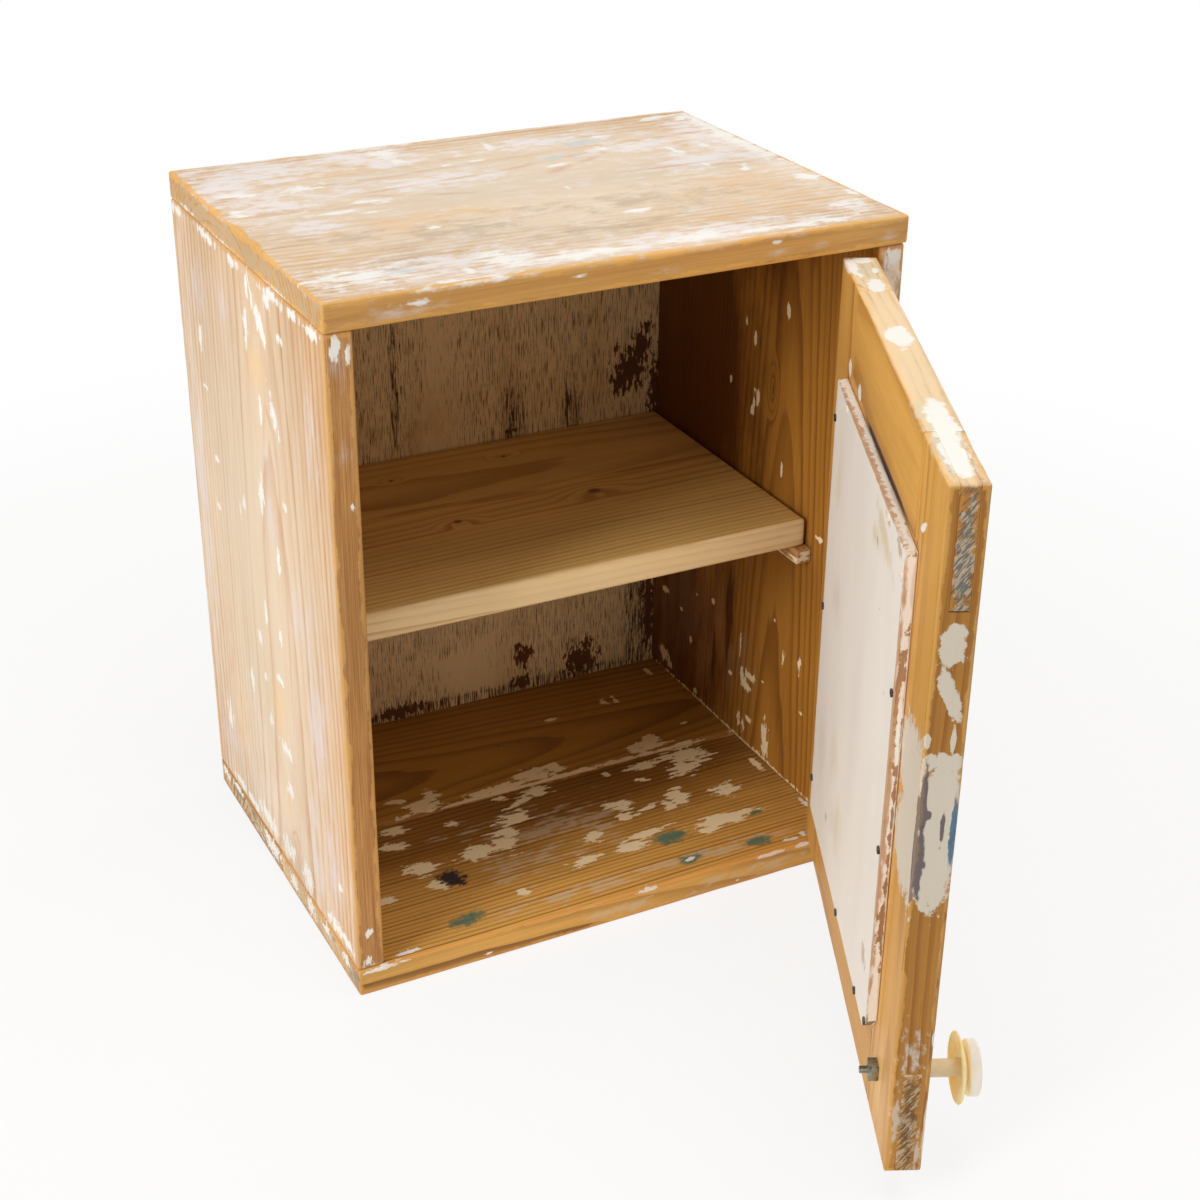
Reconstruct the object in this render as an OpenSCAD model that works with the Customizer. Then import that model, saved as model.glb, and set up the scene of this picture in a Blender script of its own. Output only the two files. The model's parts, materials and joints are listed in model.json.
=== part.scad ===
// Small pine medicine cabinet: a box with a loose shelf and one framed door on two butt hinges.
// Millimetres, +Z up. The origin is the centre of the base's underside, the front faces -Y and
// the flat back faces +Y. The door is drawn part open, which is its rest position.

/* [Carcass] */
// Width over the two side boards
carcass_w = 339; // [280:1:420]
// Depth of the top board, front to back
carcass_d = 258; // [220:1:320]
// Height from the underside of the base to the upper face of the top board
carcass_h = 416; // [340:1:520]
// Thickness of the two side boards
side_t = 16; // [13:0.5:22]
// Thickness of the top board
top_t = 16; // [12:0.5:22]
// Thickness of the two base boards
base_t = 17.5; // [12:0.5:22]
// Length of the top board past the right side board
top_overhang = 1; // [0:0.5:6]
// Distance that the sides' front edges stand back from the top board's front edge
side_setback = 1.2; // [0:0.1:4]
// Width of the front base board, front to back
base_front_w = 136; // [100:1:170]
// Open seam between the two base boards
base_seam = 0.4; // [0.1:0.1:2]
// Thickness of the back panel
back_t = 6; // [4:0.5:10]
// Width of the rebate that the back panel lies in
back_lap = 8; // [5:0.5:10]
// Play between the back panel and the walls of its rebate
back_play = 0.4; // [0.1:0.1:1.5]
// Width of the flat worn along the carcass boards' arrises
carcass_ease = 1.2; // [0.4:0.1:3]

/* [Shelf] */
// Thickness of the shelf
shelf_t = 18; // [12:0.5:24]
// Height of the bearers' upper faces, where the shelf rests
shelf_z = 195; // [120:1:240]
// Distance from the front of the carcass to the shelf's front edge
shelf_setback = 56; // [40:1:100]
// Play between the shelf and each side board
shelf_side_play = 2; // [0.5:0.1:4]
// Play between the shelf and the back panel
shelf_back_play = 0.5; // [0.3:0.1:5]
// Width of the flat worn along the shelf's arrises
shelf_ease = 1.6; // [0.4:0.1:3]
// Width of a bearer
bearer_w = 10.5; // [7:0.5:20]
// Height of a bearer
bearer_h = 9.5; // [6:0.5:20]
// Distance from the front of the carcass to the bearers' front ends
bearer_setback = 51; // [36:1:96]
// Width of the flat worn along the bearers' arrises
bearer_ease = 0.8; // [0.3:0.1:2]

/* [Door] */
// Angle that the door stands open at rest, counted from closed
door_angle = 65.4; // [0:0.1:170]
// Thickness of the door's frame
door_t = 18.8; // [15:0.1:24]
// Gap between the door and the top board
door_gap_top = 4.4; // [1:0.1:8]
// Gap between the door and the base
door_gap_base = 2.9; // [1:0.1:8]
// Gap between the door and the side board at its hinges
door_gap_hinge = 2.2; // [2:0.1:4]
// Gap between the door and the side board at its free edge
door_gap_free = 1.5; // [1.2:0.1:4]
// Width of the two stiles
stile_w = 57; // [45:1:75]
// Height of the top rail
top_rail_h = 60; // [45:1:80]
// Height of the bottom rail
bottom_rail_h = 62; // [45:1:80]
// Thickness of the rails' tenons
tenon_t = 9; // [6:0.5:10]
// Distance from the door's inner face to the tenons
tenon_inset = 5.4; // [4:0.1:7]
// Width of the flat worn along the door's arrises
door_ease = 1; // [0.4:0.1:2.5]
// Thickness of the board nailed over the frame's opening
board_t = 6; // [3:0.5:9]
// Distance from the board to each long edge of the door
board_side_margin = 45; // [32:1:50]
// Distance from the board to the door's upper edge
board_top_margin = 53; // [34:1:54]
// Distance from the board to the door's lower edge
board_base_margin = 48.5; // [46:0.5:54]
// Width of the flat worn along the board's arrises
board_ease = 0.5; // [0.2:0.1:1.5]

/* [Knob] */
// Distance from the door's free edge to the knob's axis
knob_inset = 35; // [28:1:42]
// Height of the knob's axis above the door's lower edge
knob_rise = 36; // [28:1:40]
// Diameter of the stem
stem_d = 10; // [8:0.5:16]
// Length of the stem, from the door's face to the flange
stem_l = 24; // [14:0.5:34]
// Diameter of the flange
flange_d = 37; // [30:1:50]
// Depth that the flange's rim hooks back towards the door
flange_dish = 3.4; // [1:0.2:6]
// Thickness of the flange
flange_t = 1.8; // [1.2:0.1:3]
// Diameter of the cap
cap_d = 29; // [24:0.5:36]
// Thickness of the cap, measured at its rim
cap_t = 4.8; // [4:0.2:10]
// Height of the cap's domed face
cap_dome = 1.4; // [0.5:0.1:3]
// Diameter of the neck between the flange and the cap
neck_d = 24.5; // [20:0.5:30]
// Length of the neck
neck_l = 1.2; // [0.6:0.1:3]
// Diameter of the knob's bolt
bolt_d = 4; // [3:0.5:6]
// Depth of the bolt's seat in the cap
bolt_seat = 4.5; // [2:0.5:5]
// Length of bolt that stands out of the nut
bolt_end = 4.4; // [1:0.2:10]
// Width of the square nut over its flats
nut_w = 8.6; // [7:0.1:14]
// Thickness of the nut
nut_t = 4.9; // [2:0.1:6]

/* [Hinges] */
// Length of a hinge
hinge_l = 38; // [30:1:50]
// Distance from the door's upper and lower edge to the middle of each hinge
hinge_inset = 84; // [66:1:110]
// Width of a leaf, from the pin's axis to the far edge
leaf_w = 15; // [13:0.5:17]
// Thickness of a leaf
leaf_t = 0.9; // [0.6:0.1:0.95]
// Outer diameter of the knuckles
knuckle_d = 5; // [4.4:0.1:7]
// Number of knuckles on a hinge
knuckles = 5; // [3:2:7]
// Play between neighbouring knuckles
knuckle_play = 0.3; // [0.1:0.1:0.6]
// Diameter of the hinge pin
pin_d = 2.4; // [1.8:0.1:3]
// Thickness of the pin's two heads
pin_head_t = 1; // [0.5:0.1:2]
// Shank diameter of a hinge screw
screw_d = 2.6; // [2:0.1:3]
// Head diameter of a hinge screw
screw_head_d = 4.8; // [4:0.1:5.4]
// Length of a hinge screw
screw_l = 11; // [8:0.5:12]

/* [Nails] */
// Shank diameter of the carcass nails
nail_d = 2.2; // [1.6:0.1:3]
// Length of the carcass nails
nail_l = 42; // [32:1:60]
// Head diameter of the carcass nails
nail_head_d = 4.6; // [3.4:0.1:6]
// Number of nails along each end of the top board
top_nail_n = 3; // [2:1:6]
// Distance from the front and back of a board to its nearest nail
nail_margin = 24; // [12:1:36]
// Shank diameter of the panel pins
panel_pin_d = 1.6; // [1.2:0.1:2.2]
// Length of the panel pins
panel_pin_l = 18; // [14:0.5:20]
// Head diameter of the panel pins
panel_pin_head_d = 4.2; // [2.6:0.1:4.6]
// Number of pins along each edge of the back panel
back_pin_n = 4; // [2:1:8]
// Number of pins through each bearer
bearer_pin_n = 3; // [2:1:6]
// Distance from the edge of the door's board to its pins
board_pin_inset = 2.7; // [2.4:0.1:5]

/* [Hidden] */

$fn = 48;
// Sides of the knob's wide rounds
wide_fn = 96;
// Overrun of a cut past the face that it opens
over = 1;
// Radial play of the pin in its knuckles
pin_play = 0.05;
// Radial play of a screw or bolt in its hole
hole_play = 0.2;
// Thickness of a nail's head
head_t = 0.9;
// Share of a nail's length that its point takes
point_share = 0.12;
// Share of a screw's length that its point takes
screw_point_share = 0.3;

// Planes of the carcass
front_y = -carcass_d / 2;
back_y = carcass_d / 2;
side_x = carcass_w / 2;
inner_x = side_x - side_t;
side_front_y = front_y + side_setback;
under_top_z = carcass_h - top_t;
panel_y = back_y - back_t;
base_seam_y = front_y + base_front_w;
lap_x = inner_x + back_lap;
lap_z0 = base_t - back_lap;
lap_z1 = under_top_z + back_lap;

// Planes of the shelf and the bearers
shelf_y = front_y + shelf_setback;
shelf_x = inner_x - shelf_side_play;
shelf_back_y = panel_y - shelf_back_play;
bearer_y = front_y + bearer_setback;

// Planes of the closed door
door_x0 = -inner_x + door_gap_free;
door_x1 = inner_x - door_gap_hinge;
door_z0 = base_t + door_gap_base;
door_z1 = under_top_z - door_gap_top;
door_y0 = side_front_y;
door_y1 = door_y0 + door_t;
tenon_y1 = door_y1 - tenon_inset;
tenon_y0 = tenon_y1 - tenon_t;
board_x0 = door_x0 + board_side_margin;
board_x1 = door_x1 - board_side_margin;
board_z0 = door_z0 + board_base_margin;
board_z1 = door_z1 - board_top_margin;
board_y1 = door_y1 + board_t;

// The hinges' axis, in front of the door and in the middle of the gap
pin_x = inner_x - door_gap_hinge / 2;
pin_y = door_y0 - knuckle_d / 2;
upper_hinge_z = door_z1 - hinge_inset;
lower_hinge_z = door_z0 + hinge_inset;
knuckle_pitch = hinge_l / knuckles;
leaf_reach = door_gap_hinge / 2;
notch_y = knuckle_d / 2 + knuckle_play;
// Places of a leaf's three screws, along the hinge and across the leaf
screw_rows = [[-0.36, 0.68], [0, 0.5], [0.36, 0.68]];

// The knob's axis and the planes along it, counted from the door's outer face
knob_x = door_x0 + knob_inset;
knob_z = door_z0 + knob_rise;
flange_back = stem_l + flange_t;
cap_back = flange_back + neck_l;
cap_face = cap_back + cap_t;
bolt_hole_d = bolt_d + 2 * hole_play;
bolt_seat_d = bolt_d + 2 * pin_play;

// Softening of the cap's rim, which is a quarter of its thickness and 2 mm at most
cap_soft = min(cap_t / 4, 2);
cap_low_soft = cap_soft / 2;
cap_face_r = cap_d / 2 - cap_soft;
dome_r = (cap_face_r * cap_face_r + cap_dome * cap_dome) / (2 * cap_dome);
// Width of the flat worn along the nut's arrises
nut_ease = nut_t / 12;

// Places of the pins along the door board's edges, as shares of the edge
board_pins_low = [0.52, 0.84];
board_pins_high = [0.18, 0.8];
board_pins_hinge = [0.08, 0.5, 0.92];
board_pins_free = [0.03, 0.41, 0.73, 0.95];

pine = [0.80, 0.62, 0.38];
pine_worn = [0.76, 0.58, 0.36];
pine_new = [0.88, 0.72, 0.48];
pine_dark = [0.62, 0.43, 0.24];
cream_paint = [0.74, 0.66, 0.52];
white_paint = [0.88, 0.85, 0.79];
ivory = [0.90, 0.84, 0.64];
steel = [0.45, 0.44, 0.42];
dull_steel = [0.34, 0.34, 0.33];

// A rectangle from the origin with its four corners cut off
module eased_rect(a, b, c) {
    polygon([[c, 0], [a - c, 0], [a, c], [a, b - c], [a - c, b], [c, b], [0, b - c], [0, c]]);
}

// A block from the origin with all its arrises worn flat
module eased_block(size, c) {
    intersection() {
        linear_extrude(size[2])
            eased_rect(size[0], size[1], c);
        translate([0, size[1], 0])
            rotate([90, 0, 0])
                linear_extrude(size[1])
                    eased_rect(size[0], size[2], c);
        rotate([90, 0, 90])
            linear_extrude(size[0])
                eased_rect(size[1], size[2], c);
    }
}

// A block between two opposite corners
module block(low, high) {
    translate(low)
        cube([for (i = [0:2]) high[i] - low[i]]);
}

// A nail with the top of its head at the origin, pointing down
module nail(d, l, head_d) {
    tip = l * point_share;
    translate([0, 0, -head_t])
        cylinder(d = head_d, h = head_t);
    translate([0, 0, tip - l])
        cylinder(d = d, h = l - tip);
    translate([0, 0, -l])
        cylinder(d1 = 0, d2 = d, h = tip);
}

// Places of n nails spread between two ends, each a margin in from its end
function spread(low, high, margin, n) =
    [for (i = [0:n - 1]) low + margin + (high - low - 2 * margin) * i / (n - 1)];

// Moves what is drawn at the closed door to the door's rest position
module on_door() {
    translate([pin_x, pin_y, 0])
        rotate([0, 0, door_angle])
            translate([-pin_x, -pin_y, 0])
                children();
}

// The space of the back panel's rebate
module back_rebate() {
    block([-lap_x, panel_y, lap_z0], [lap_x, back_y + over, lap_z1]);
}

module top_board() {
    color(pine_worn)
        difference() {
            translate([-side_x, front_y, under_top_z])
                eased_block([carcass_w + top_overhang, carcass_d, top_t], carcass_ease);
            back_rebate();
        }
}

// A side board at the left, with its upright arrises worn
module side_board() {
    difference() {
        translate([-side_x, side_front_y, base_t])
            linear_extrude(under_top_z - base_t)
                eased_rect(side_t, back_y - side_front_y, carcass_ease);
        back_rebate();
    }
}

module left_side() {
    color(pine)
        side_board();
}

module right_side() {
    color(pine)
        mirror([1, 0, 0])
            side_board();
}

// The two base boards as one blank, which the seam parts
module base_blank() {
    difference() {
        translate([-side_x, front_y, 0])
            eased_block([carcass_w, carcass_d, base_t], carcass_ease);
        back_rebate();
    }
}

module base_front_board() {
    color(pine_worn)
        intersection() {
            base_blank();
            block([-side_x, front_y, 0], [side_x, base_seam_y - base_seam / 2, base_t]);
        }
}

module base_rear_board() {
    color(pine_dark)
        intersection() {
            base_blank();
            block([-side_x, base_seam_y + base_seam / 2, 0], [side_x, back_y, base_t]);
        }
}

module back_panel() {
    panel_x = lap_x - back_play;
    color(cream_paint)
        block([-panel_x, panel_y, lap_z0 + back_play], [panel_x, back_y, lap_z1 - back_play]);
}

module top_nails() {
    color(dull_steel)
        for (side = [-1, 1])
            for (y = spread(front_y, back_y, nail_margin, top_nail_n))
                translate([side * (side_x - side_t / 2), y, carcass_h])
                    nail(nail_d, nail_l, nail_head_d);
}

module base_nails() {
    front_rows = spread(front_y, base_seam_y, nail_margin, 2);
    rear_rows = spread(base_seam_y, back_y, nail_margin, 2);
    color(dull_steel)
        for (side = [-1, 1])
            for (y = concat(front_rows, rear_rows))
                translate([side * (side_x - side_t / 2), y, 0])
                    rotate([180, 0, 0])
                        nail(nail_d, nail_l, nail_head_d);
}

// A panel pin with its head at the origin, driven towards the front
module back_pin() {
    rotate([-90, 0, 0])
        nail(panel_pin_d, panel_pin_l, panel_pin_head_d);
}

module back_panel_pins() {
    edge_x = inner_x + back_lap / 2;
    low_z = base_t - back_lap / 2;
    high_z = under_top_z + back_lap / 2;
    color(dull_steel) {
        for (side = [-1, 1])
            for (z = spread(base_t, under_top_z, nail_margin, back_pin_n))
                translate([side * edge_x, back_y, z])
                    back_pin();
        for (z = [low_z, high_z])
            for (x = spread(-inner_x, inner_x, nail_margin, back_pin_n))
                translate([x, back_y, z])
                    back_pin();
    }
}

// A bearer at the left side board
module bearer() {
    translate([-inner_x, bearer_y, shelf_z - bearer_h])
        eased_block([bearer_w, panel_y - bearer_y, bearer_h], bearer_ease);
}

module left_bearer() {
    color(pine_dark)
        bearer();
}

module right_bearer() {
    color(pine_dark)
        mirror([1, 0, 0])
            bearer();
}

module bearer_pins() {
    color(dull_steel)
        for (side = [-1, 1])
            for (y = spread(bearer_y, panel_y, nail_margin, bearer_pin_n))
                translate([side * (inner_x - bearer_w), y, shelf_z - bearer_h / 2])
                    rotate([0, -side * 90, 0])
                        nail(panel_pin_d, panel_pin_l, panel_pin_head_d);
}

module shelf() {
    color(pine_new)
        translate([-shelf_x, shelf_y, shelf_z])
            eased_block([2 * shelf_x, shelf_back_y - shelf_y, shelf_t], shelf_ease);
}

// The closed door's frame as one solid blank
module door_blank() {
    translate([door_x0, door_y0, door_z0])
        eased_block([door_x1 - door_x0, door_t, door_z1 - door_z0], door_ease);
}

// The slots of the open joints, from one stile's outer edge to the other's
module tenon_slots(x0, x1) {
    block([x0, tenon_y0, door_z0 - over], [x1, tenon_y1, door_z0 + bottom_rail_h]);
    block([x0, tenon_y0, door_z1 - top_rail_h], [x1, tenon_y1, door_z1 + over]);
}

// The hole for the knob's bolt, right through the closed door
module bolt_hole() {
    translate([knob_x, door_y0 - over, knob_z])
        rotate([-90, 0, 0])
            cylinder(d = bolt_hole_d, h = door_t + 2 * over);
}

// A stile of the closed door between two planes
module stile(x0, x1) {
    difference() {
        intersection() {
            door_blank();
            block([x0, door_y0, door_z0], [x1, door_y1, door_z1]);
        }
        tenon_slots(x0 - over, x1 + over);
        bolt_hole();
    }
}

module door_hinge_stile() {
    color(pine)
        on_door()
            stile(door_x1 - stile_w, door_x1);
}

module door_free_stile() {
    color(pine)
        on_door()
            stile(door_x0, door_x0 + stile_w);
}

// A rail of the closed door with its two tenons
module rail(z0, z1) {
    difference() {
        intersection() {
            door_blank();
            union() {
                block([door_x0 + stile_w, door_y0, z0], [door_x1 - stile_w, door_y1, z1]);
                block([door_x0, tenon_y0, z0], [door_x1, tenon_y1, z1]);
            }
        }
        bolt_hole();
    }
}

module door_top_rail() {
    color(pine)
        on_door()
            rail(door_z1 - top_rail_h, door_z1);
}

module door_bottom_rail() {
    color(pine)
        on_door()
            rail(door_z0, door_z0 + bottom_rail_h);
}

module door_board() {
    color(white_paint)
        on_door()
            translate([board_x0, door_y1, board_z0])
                eased_block([board_x1 - board_x0, board_t, board_z1 - board_z0], board_ease);
}

// A pin through the door's board, with its head on the board's face
module board_pin(x, z) {
    translate([x, board_y1 + head_t, z])
        rotate([-90, 0, 0])
            nail(panel_pin_d, panel_pin_l, panel_pin_head_d);
}

module door_board_pins() {
    board_w = board_x1 - board_x0;
    board_h = board_z1 - board_z0;
    color(dull_steel)
        on_door() {
            for (share = board_pins_low)
                board_pin(board_x1 - share * board_w, board_z0 + board_pin_inset);
            for (share = board_pins_high)
                board_pin(board_x1 - share * board_w, board_z1 - board_pin_inset);
            for (share = board_pins_hinge)
                board_pin(board_x1 - board_pin_inset, board_z0 + share * board_h);
            for (share = board_pins_free)
                board_pin(board_x0 + board_pin_inset, board_z0 + share * board_h);
        }
}

// Turns what is drawn along +Z from the origin onto the knob's axis, out of the door's face
module on_knob_axis() {
    on_door()
        translate([knob_x, door_y0, knob_z])
            rotate([90, 0, 0])
                children();
}

module knob_stem() {
    color(ivory)
        on_knob_axis()
            difference() {
                cylinder(d = stem_d, h = stem_l);
                translate([0, 0, -over])
                    cylinder(d = bolt_hole_d, h = stem_l + 2 * over);
            }
}

// Half the flange's section: a thin dish whose rim hooks back towards the door
module flange_section() {
    polygon([
        [bolt_hole_d / 2, stem_l],
        [stem_d / 2, stem_l],
        [flange_d / 2 - flange_t / 2, stem_l - flange_dish],
        [flange_d / 2, stem_l - flange_dish + flange_t / 2],
        [flange_d / 2 - flange_t / 2, stem_l - flange_dish + flange_t],
        [neck_d / 2, flange_back],
        [bolt_hole_d / 2, flange_back]
    ]);
}

module knob_flange() {
    color(ivory)
        on_knob_axis()
            rotate_extrude($fn = wide_fn)
                flange_section();
}

// The cap: a short neck, an upright rim with softened corners and a low dome
module knob_cap() {
    color(white_paint)
        on_knob_axis()
            difference() {
                union() {
                    translate([0, 0, flange_back])
                        cylinder(d = neck_d, h = neck_l);
                    translate([0, 0, cap_back])
                        cylinder(d1 = cap_d - 2 * cap_low_soft, d2 = cap_d, h = cap_low_soft, $fn = wide_fn);
                    translate([0, 0, cap_back + cap_low_soft])
                        cylinder(d = cap_d, h = cap_t - cap_low_soft - cap_soft, $fn = wide_fn);
                    translate([0, 0, cap_face - cap_soft])
                        cylinder(d1 = cap_d, d2 = 2 * cap_face_r, h = cap_soft, $fn = wide_fn);
                    intersection() {
                        translate([0, 0, cap_face + cap_dome - dome_r])
                            sphere(r = dome_r, $fn = wide_fn);
                        translate([0, 0, cap_face - cap_soft])
                            cylinder(d = 2 * cap_face_r, h = cap_soft + cap_dome + over, $fn = wide_fn);
                    }
                }
                translate([0, 0, flange_back - over])
                    cylinder(d = bolt_seat_d, h = bolt_seat + over);
            }
}

module knob_bolt() {
    inside = door_t + nut_t + bolt_end;
    color(steel)
        on_knob_axis()
            translate([0, 0, -inside])
                cylinder(d = bolt_d, h = inside + flange_back + bolt_seat);
}

module knob_nut() {
    color(dull_steel)
        on_knob_axis()
            translate([0, 0, -door_t - nut_t])
                difference() {
                    translate([-nut_w / 2, -nut_w / 2, 0])
                        eased_block([nut_w, nut_w, nut_t], nut_ease);
                    translate([0, 0, -over])
                        cylinder(d = bolt_seat_d, h = nut_t + 2 * over);
                }
}

// The hole for one countersunk screw in a leaf, opening towards -X
module leaf_screw_hole() {
    rotate([0, 90, 0]) {
        translate([0, 0, -over])
            cylinder(d = screw_d + 2 * hole_play, h = leaf_t + 2 * over);
        cylinder(d1 = screw_head_d + 2 * pin_play, d2 = screw_d + 2 * hole_play, h = leaf_t);
    }
}

// A leaf beside the pin's axis: the plate with every second knuckle, counted from the first or second
module leaf(first) {
    plate_x = leaf_reach - leaf_t;
    knuckle_top = knuckle_pitch - knuckle_play / 2;
    difference() {
        union() {
            block([plate_x, notch_y, -hinge_l / 2], [leaf_reach, leaf_w, hinge_l / 2]);
            for (i = [first:2:knuckles - 1])
                translate([0, 0, i * knuckle_pitch - hinge_l / 2]) {
                    translate([0, 0, knuckle_play / 2])
                        cylinder(d = knuckle_d, h = knuckle_pitch - knuckle_play);
                    block([plate_x, 0, knuckle_play / 2], [leaf_reach, notch_y, knuckle_top]);
                }
        }
        translate([0, 0, -hinge_l])
            cylinder(d = pin_d + 2 * pin_play, h = 2 * hinge_l);
        for (row = screw_rows)
            translate([plate_x, row[1] * leaf_w, row[0] * hinge_l])
                leaf_screw_hole();
    }
}

// Three countersunk screws in a leaf's holes, pointing to +X
module leaf_screws() {
    tip = screw_l * screw_point_share;
    for (row = screw_rows)
        translate([leaf_reach - leaf_t, row[1] * leaf_w, row[0] * hinge_l])
            rotate([0, 90, 0]) {
                cylinder(d1 = screw_head_d, d2 = screw_d, h = leaf_t);
                translate([0, 0, leaf_t])
                    cylinder(d = screw_d, h = screw_l - leaf_t - tip);
                translate([0, 0, screw_l - tip])
                    cylinder(d1 = screw_d, d2 = 0, h = tip);
            }
}

// Moves what is drawn round the pin's axis to a hinge at height z
module at_hinge(z) {
    translate([pin_x, pin_y, z])
        children();
}

module fixed_leaf(z) {
    color(steel)
        at_hinge(z)
            leaf(0);
}

module door_leaf(z) {
    color(steel)
        on_door()
            at_hinge(z)
                mirror([1, 0, 0])
                    leaf(1);
}

// A hinge pin, held by a flat head at each end
module hinge_pin(z) {
    color(dull_steel)
        at_hinge(z) {
            translate([0, 0, -hinge_l / 2])
                cylinder(d = pin_d, h = hinge_l);
            for (end = [-1, 1])
                translate([0, 0, end * (hinge_l + pin_head_t) / 2])
                    cylinder(d = knuckle_d, h = pin_head_t, center = true);
        }
}

module upper_hinge_fixed_leaf() { fixed_leaf(upper_hinge_z); }
module lower_hinge_fixed_leaf() { fixed_leaf(lower_hinge_z); }
module upper_hinge_door_leaf() { door_leaf(upper_hinge_z); }
module lower_hinge_door_leaf() { door_leaf(lower_hinge_z); }
module upper_hinge_pin() { hinge_pin(upper_hinge_z); }
module lower_hinge_pin() { hinge_pin(lower_hinge_z); }

module fixed_leaf_screws() {
    color(dull_steel)
        for (z = [lower_hinge_z, upper_hinge_z])
            at_hinge(z)
                leaf_screws();
}

module door_leaf_screws() {
    color(dull_steel)
        on_door()
            for (z = [lower_hinge_z, upper_hinge_z])
                at_hinge(z)
                    mirror([1, 0, 0])
                        leaf_screws();
}

top_board();
left_side();
right_side();
base_front_board();
base_rear_board();
back_panel();
top_nails();
base_nails();
back_panel_pins();
left_bearer();
right_bearer();
bearer_pins();
shelf();
door_hinge_stile();
door_free_stile();
door_top_rail();
door_bottom_rail();
door_board();
door_board_pins();
knob_stem();
knob_flange();
knob_cap();
knob_bolt();
knob_nut();
upper_hinge_fixed_leaf();
upper_hinge_door_leaf();
upper_hinge_pin();
lower_hinge_fixed_leaf();
lower_hinge_door_leaf();
lower_hinge_pin();
fixed_leaf_screws();
door_leaf_screws();
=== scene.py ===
"""Looks of the old pine medicine cabinet: worn boards with remnants of paint, plastic knob, steel hinges.

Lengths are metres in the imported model's frame. Places of paint and knots are millimetres in the same
frame, with the door closed, so that they can be read off the object with a rule. Each is a row of the
values of a Dab. Colours are as displayed, from 0 to 255.
"""

import json
import logging
import math
from dataclasses import dataclass, field, replace
from enum import Enum
from typing import Mapping, Optional, Sequence, Union

import bmesh
import bpy
from mathutils import Euler, Matrix, Vector, noise


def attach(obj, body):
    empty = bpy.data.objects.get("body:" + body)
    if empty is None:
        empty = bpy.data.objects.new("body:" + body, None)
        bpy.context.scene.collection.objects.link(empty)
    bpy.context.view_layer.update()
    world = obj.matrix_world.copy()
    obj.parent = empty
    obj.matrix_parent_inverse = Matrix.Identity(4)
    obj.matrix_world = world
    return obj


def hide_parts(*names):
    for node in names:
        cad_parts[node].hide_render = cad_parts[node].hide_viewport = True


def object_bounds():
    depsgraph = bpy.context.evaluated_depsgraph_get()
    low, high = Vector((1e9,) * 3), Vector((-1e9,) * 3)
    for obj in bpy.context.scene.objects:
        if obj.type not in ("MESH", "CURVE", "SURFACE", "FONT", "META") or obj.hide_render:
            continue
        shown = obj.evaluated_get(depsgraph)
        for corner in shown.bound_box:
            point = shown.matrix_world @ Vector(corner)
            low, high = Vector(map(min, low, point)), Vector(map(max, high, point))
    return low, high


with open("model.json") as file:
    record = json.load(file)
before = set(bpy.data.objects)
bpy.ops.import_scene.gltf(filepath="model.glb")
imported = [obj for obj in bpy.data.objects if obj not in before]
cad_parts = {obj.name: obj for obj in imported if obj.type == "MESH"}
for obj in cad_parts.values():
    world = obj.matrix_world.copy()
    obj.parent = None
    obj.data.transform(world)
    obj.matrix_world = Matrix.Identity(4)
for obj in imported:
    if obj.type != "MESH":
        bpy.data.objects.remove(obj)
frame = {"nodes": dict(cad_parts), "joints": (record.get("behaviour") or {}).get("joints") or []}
CAD_LOW, CAD_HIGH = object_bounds()

LOG = logging.getLogger("cabinet")
MM = 0.001
# Points nearer than this count as touching.
TOUCH = 1e-6
# The hair by which one turn of ovals shifts the place for the next, and how many ovals take one turn.
HAIR = 1e-9
DABS_IN_TURN = 6
# How far across the tree a board's cut lies for each metre along it.
DRIFT = 0.37
PLAIN_WHITE = (1.0, 1.0, 1.0, 1.0)
# The browns of a knot, as linear colours.
KNOT_RIM = (0.17, 0.085, 0.035)
KNOT_HEART = (0.06, 0.03, 0.015)

Socket = bpy.types.NodeSocket
Value = Union[Socket, float, Sequence[float]]
Triple = tuple[float, float, float]
Colour = Triple
Point = tuple[float, float]
Box = tuple[Vector, Vector]


class Axis(Enum):
    """The way that a board's grain runs in the closed cabinet."""

    X = 0
    Y = 1
    Z = 2


class Face(Enum):
    """A face of a board: its axis, its side, and the two axes that places on it are read along."""

    LEFT = (0, -1, 1, 2)
    RIGHT = (0, 1, 1, 2)
    FRONT = (1, -1, 0, 2)
    BACK = (1, 1, 0, 2)
    TOP = (2, 1, 0, 1)


class Blend(Enum):
    """How a layer colours what lies under it."""

    COVER = "MIX"
    # Multiplies the colour under it: real tints, and the painted shade of some layers.
    TINT_AND_PAINTED_SHADE = "MULTIPLY"


# The rows of a layer's dabs on each face.
Places = Mapping[Face, Sequence[tuple[float, ...]]]


@dataclass(frozen=True)
class Dab:
    """An oval place on a face, in millimetres: its middle, half sizes, turn in degrees and depth."""

    a: float
    b: float
    ra: float
    rb: float
    turn: float = 0.0
    deep: float = 3.5


@dataclass(frozen=True)
class Layer:
    """A remnant of paint, a film, a tint or painted shade, and where it lies on a board.

    The coverage is 1 in the middle of a dab, 0 on its outline and stray everywhere else at least; ceiling
    is the most that it may be, and bite is what the hard late wood takes off it. A slant in degrees draws
    the pattern out across the grain instead of along it.
    """

    colour: Colour
    places: Places = field(default_factory=dict)
    strength: float = 1.0
    ragged: float = 1.1
    rim: float = 0.12
    scale: float = 110.0
    stretch: float = 3.0
    stray: float = -2.0
    ceiling: float = 1.0
    bite: float = 0.0
    slant: float = 0.0
    relief: float = 0.0
    blend: Blend = Blend.COVER

    def at(self, places: Places, colour: Optional[Colour] = None, **change: object) -> "Layer":
        """Gives a layer of this kind at its places, in its colour and with its own changes."""
        return replace(self, places=places, colour=colour or self.colour, **change)


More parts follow.
